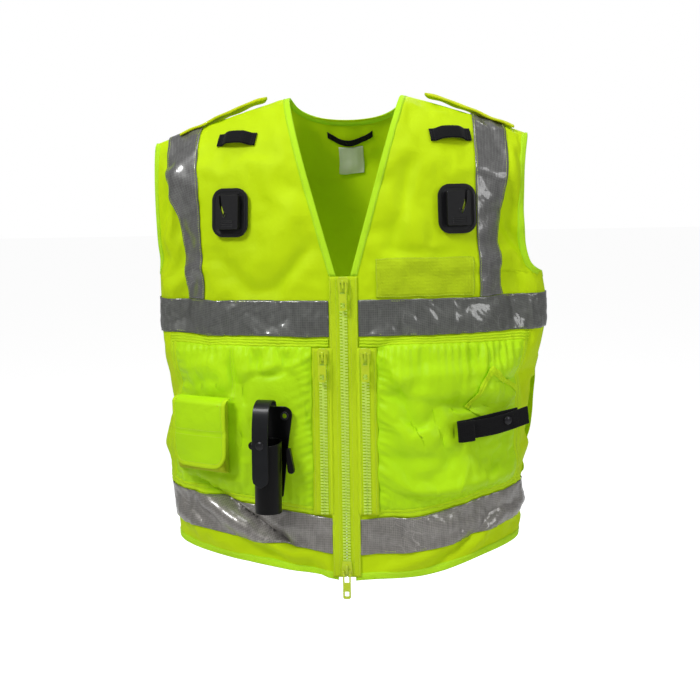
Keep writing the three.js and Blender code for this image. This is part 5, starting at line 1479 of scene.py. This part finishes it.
def bag_seam(hand, x, z, off):
    x, z = np.broadcast_arrays(np.asarray(x, float), np.asarray(z, float))
    return bag_at(hand, x, z, off), normals_of(smooth_body, FRONT, *place_of(x, z))


def binding_seam(side, edge, inward):
    p = inset_places(side, edge, inward, BINDING_ROW_IN)
    return seam(side, p[:, 0], p[:, 1], BINDING_ROW_OUT)


def frame_seam(local, x, y, z):
    p = at_frame(local, x, y, z)
    return p, np.repeat([-local[1][1]], len(p), 0)


sewn = {FRONT: [], BACK: []}
rows = sewn[FRONT]
for hand in (-1, 1):
    rows.append(binding_seam(FRONT, v_line * [hand, 1], np.repeat([[hand * 1.0, 0.12]], len(v_line), 0)))
    for side in (FRONT, BACK):
        sewn[side].append(binding_seam(side, arm_lines[side, hand] * [hand, 1], arm_inward(side, hand)))
    rows.append(binding_seam(FRONT, front_hem * [hand, 1], up(front_hem)))
    u = np.linspace(0.085, 0.995, 150)
    for top in (CHEST_TAPE_TOP - TAPE_ROW_IN, CHEST_TAPE_TOP - TAPE_WIDTH + TAPE_ROW_IN):
        x = hand * half_width(top) * np.sin(u * QUARTER)
        rows.append(seam(FRONT, x, np.full_like(u, top), TAPE_ROW_OUT))
    x = hand * HEM_HALF * np.sin(u * QUARTER)
    for inset in (TAPE_ROW_IN, TAPE_WIDTH - TAPE_ROW_IN):
        rows.append(seam(FRONT, x, hem_top(x) - inset, TAPE_ROW_OUT))
    for side in (FRONT, BACK):
        t = np.linspace(0, 1, 90)
        for across in (0.05, 0.95):
            x = brace_x(side, hand, t, across)
            z = shoulder_z(x) - drop_of(t * place_of(x, np.full_like(x, CHEST_TAPE_TOP + 2))[1])
            sewn[side].append(seam(side, hand * x, z, 3.0))
    z = np.linspace(-1, -ZIP_LENGTH + 1, 120)
    for reach in (17.6, 10.2):
        rows.append(frame_seam(zips["main"][0], np.full_like(z, hand * reach), -0.5, z))
    side_name = "left" if hand > 0 else "right"
    z = np.linspace(-1, -230, 100)
    rows.append(frame_seam(zips[side_name][0], np.full_like(z, hand * 12.6), -0.5, z))
    rows.append(frame_seam(zips[side_name][0], np.full_like(z, -hand * 8.0), -0.9, z))
    x = hand * np.linspace(24, 257, 120)
    rows.append(seam(FRONT, x, POCKET_TOP - 4.2, 2.0))
    rows.append(seam(FRONT, x, POCKET_TOP - 8.0, 2.0))
    z = np.linspace(-352, -548, 100)
    rows.append(seam(FRONT, hand * 254.0, z, 2.1))
    x = hand * np.linspace(50, 250, 110)
    rows.append(seam(FRONT, x, hem_top(x) + 7.0, 2.1))
across = np.linspace(BADGE_LEFT, BADGE_RIGHT, 60)
down = np.linspace(BADGE_TOP, BADGE_FOOT, 24)
x = np.concatenate([across, np.full(24, BADGE_RIGHT), across[::-1], np.full(24, BADGE_LEFT)])
z = np.concatenate([np.full(60, BADGE_TOP), down, np.full(60, BADGE_FOOT), down[::-1]])
x = mix(x, (BADGE_LEFT + BADGE_RIGHT) / 2, 1.4 / 66)
z = mix(z, (BADGE_TOP + BADGE_FOOT) / 2, 1.4 / 26)
rows.append(seam(FRONT, x, z, 2.6))
for inset in (0.03, 0.10):
    loop = np.concatenate([corners, corners[:1]]) * (1 - inset * 2) + corners.mean(0) * inset * 2
    line = np.concatenate([np.linspace(loop[k], loop[k + 1], 30) for k in range(4)])
    lift = 2.5 + 1.3 * np.sin(math.pi * inset)
    rows.append(bag_seam(1, line[:, 0], line[:, 1], lift))
z = np.linspace(-352, -424, 40)
for x in (-155.0, -159.0):
    rows.append(bag_seam(-1, x + 0 * z, z, 0.15))
sewn[BACK].append(binding_seam(BACK, nape_line, nape_out))
sewn[BACK].append(binding_seam(BACK, back_hem, up(back_hem)))
for top in (CHEST_TAPE_TOP, SIDE_HEM + HEM_TAPE_RISE):
    u = np.linspace(-0.995, 0.995, 300)
    for inset in (TAPE_ROW_IN, TAPE_WIDTH - TAPE_ROW_IN):
        x = half_width(top - inset) * np.sin(u * QUARTER)
        sewn[BACK].append(seam(BACK, x, top - inset + 0 * u, TAPE_ROW_OUT))
thread = plastic("thread", (0.60, 0.78, 0.06), roughness=0.6, glow=0.08, relief=0.0)
for name, side in (("front_stitching", FRONT), ("back_stitching", BACK)):
    sewing = set_along(name, sewn[side], stitch(), STITCH_PITCH, thread, unevenness=0.06, seed=7)
    finish_piece(sewing, "vest")

p = flap_at(rim_x * 0.90, np.minimum(rim_s, RUN - 5.0), 0.5)
flap_rows = [(p, np.repeat([-phone[1][1]], len(p), 0))]
x = np.linspace(-41, 41, 40)
for s_row in (60.0, 68.0):
    flap_rows.append((flap_at(x, np.full_like(x, s_row), 0.1), np.repeat([-phone[1][1]], len(x), 0)))
flap_sewing = set_along("flap_stitching", flap_rows, stitch(), STITCH_PITCH, thread, unevenness=0.06, seed=8)
finish_piece(flap_sewing, "phone_flap")

black_thread = plastic("black thread", (0.02, 0.02, 0.022), roughness=0.6, relief=0.0)
loop_rows = []
for hand in (-1, 1):
    seat = loop_frame(hand)
    z = np.linspace(-8.5, 8.5, 10)
    for x in (-28.0, -24.0, 24.0, 28.0):
        loop_rows.append(frame_seam(seat, np.full_like(z, x), -1.0, z))
    t = np.linspace(0, 2 * math.pi, 140)
    x, z = 22.0 * squared(np.cos(t), 0.62), 29.0 * squared(np.sin(t), 0.62)
    loop_rows.append(frame_seam(dock_frame(hand), x, -2.3, z))
for x in (-46.0, -42.0, 36.0):
    z = np.linspace(-11, 11, 12)
    loop_rows.append(frame_seam(strap_frame, np.full_like(z, x), -0.1, z))
loop_sewing = set_along("webbing_stitching", loop_rows, stitch(), STITCH_PITCH, black_thread,
                        unevenness=0.05, seed=9)
finish_piece(loop_sewing, "vest")

# ======== Room for the object: floor, light and camera ========
# A plain pale floor well below the vest, soft light from above and both sides, and a camera at chest
# height, a metre and a half in front.
floor_mesh = bpy.data.meshes.new("floor")
FLOOR_SIZE, FLOOR_Z = 40, -1.25
floor_corners = [(x * FLOOR_SIZE, y * FLOOR_SIZE, FLOOR_Z) for x, y in ((-1, -1), (1, -1), (1, 1), (-1, 1))]
floor_mesh.from_pydata(floor_corners, [], [(0, 1, 2, 3)])
floor = placed("floor", floor_mesh)
pale = bpy.data.materials.new("pale floor")
nodes = nodes_of(pale)
floor_out = node(nodes, "ShaderNodeOutputMaterial")
floor_face = node(nodes, "ShaderNodeBsdfDiffuse", Color=(0.85, 0.85, 0.85, 1))
floor_lit = node(nodes, "ShaderNodeEmission", Color=(1, 1, 1, 1))
floor_seen, both = node(nodes, "ShaderNodeLightPath"), node(nodes, "ShaderNodeAddShader")
floor_lift = node(nodes, "ShaderNodeMath", operation="MULTIPLY")
floor_lift.inputs[1].default_value = 0.75
join(floor_seen, "Is Camera Ray", floor_lift, 0)
join(floor_lift, 0, floor_lit, "Strength")
join(floor_face, 0, both, 0)
join(floor_lit, 0, both, 1)
join(both, 0, floor_out, 0)
floor_mesh.materials.append(pale)

world = bpy.data.worlds.new("studio")
bpy.context.scene.world = world
nodes = nodes_of(world)
world_out = node(nodes, "ShaderNodeOutputWorld")
paths = node(nodes, "ShaderNodeLightPath")
lit = node(nodes, "ShaderNodeBackground", Color=(1, 1, 1, 1), Strength=0.26)
seen = node(nodes, "ShaderNodeBackground", Color=(1, 1, 1, 1), Strength=1.0)
either = node(nodes, "ShaderNodeMixShader")
join(paths, "Is Camera Ray", either, 0)
join(lit, 0, either, 1)
join(seen, 0, either, 2)
join(either, 0, world_out, 0)


def softbox(name, place, aim, size, power):
    light = bpy.data.lights.new(name, "AREA")
    light.shape = "RECTANGLE"
    light.size, light.size_y = size
    light.energy = power
    obj = placed(name, light)
    obj.location = place
    obj.rotation_euler = (Vector(aim) - Vector(place)).to_track_quat("-Z", "Y").to_euler()


softbox("key", (-1.3, -1.7, 1.7), (0, 0, -0.35), (0.7, 0.8), 46)
softbox("fill", (2.2, -1.5, 0.6), (0, 0, -0.35), (0.8, 1.2), 15)
softbox("top", (0.2, -0.3, 1.9), (0, 0, -0.2), (1.2, 0.8), 14)
softbox("rear", (0.4, 2.2, 1.2), (0, 0, -0.35), (1.6, 1.4), 24)

camera_data = bpy.data.cameras.new("camera")
camera_data.lens, camera_data.sensor_width = 54.3, 36.0
camera = placed("camera", camera_data)
CAMERA_AWAY, CAMERA_Z = 1.565, -0.154
yaw, pitch, roll = math.radians(4.0), math.radians(90 - 7.85), math.radians(-1.1)
camera.location = (CAMERA_AWAY * math.sin(yaw), -CAMERA_AWAY * math.cos(yaw), CAMERA_Z)
turned = Matrix.Rotation(yaw, 4, "Z") @ Matrix.Rotation(pitch, 4, "X") @ Matrix.Rotation(roll, 4, "Z")
camera.rotation_euler = turned.to_euler()
bpy.context.scene.camera = camera
bpy.context.scene.view_settings.view_transform = "Standard"
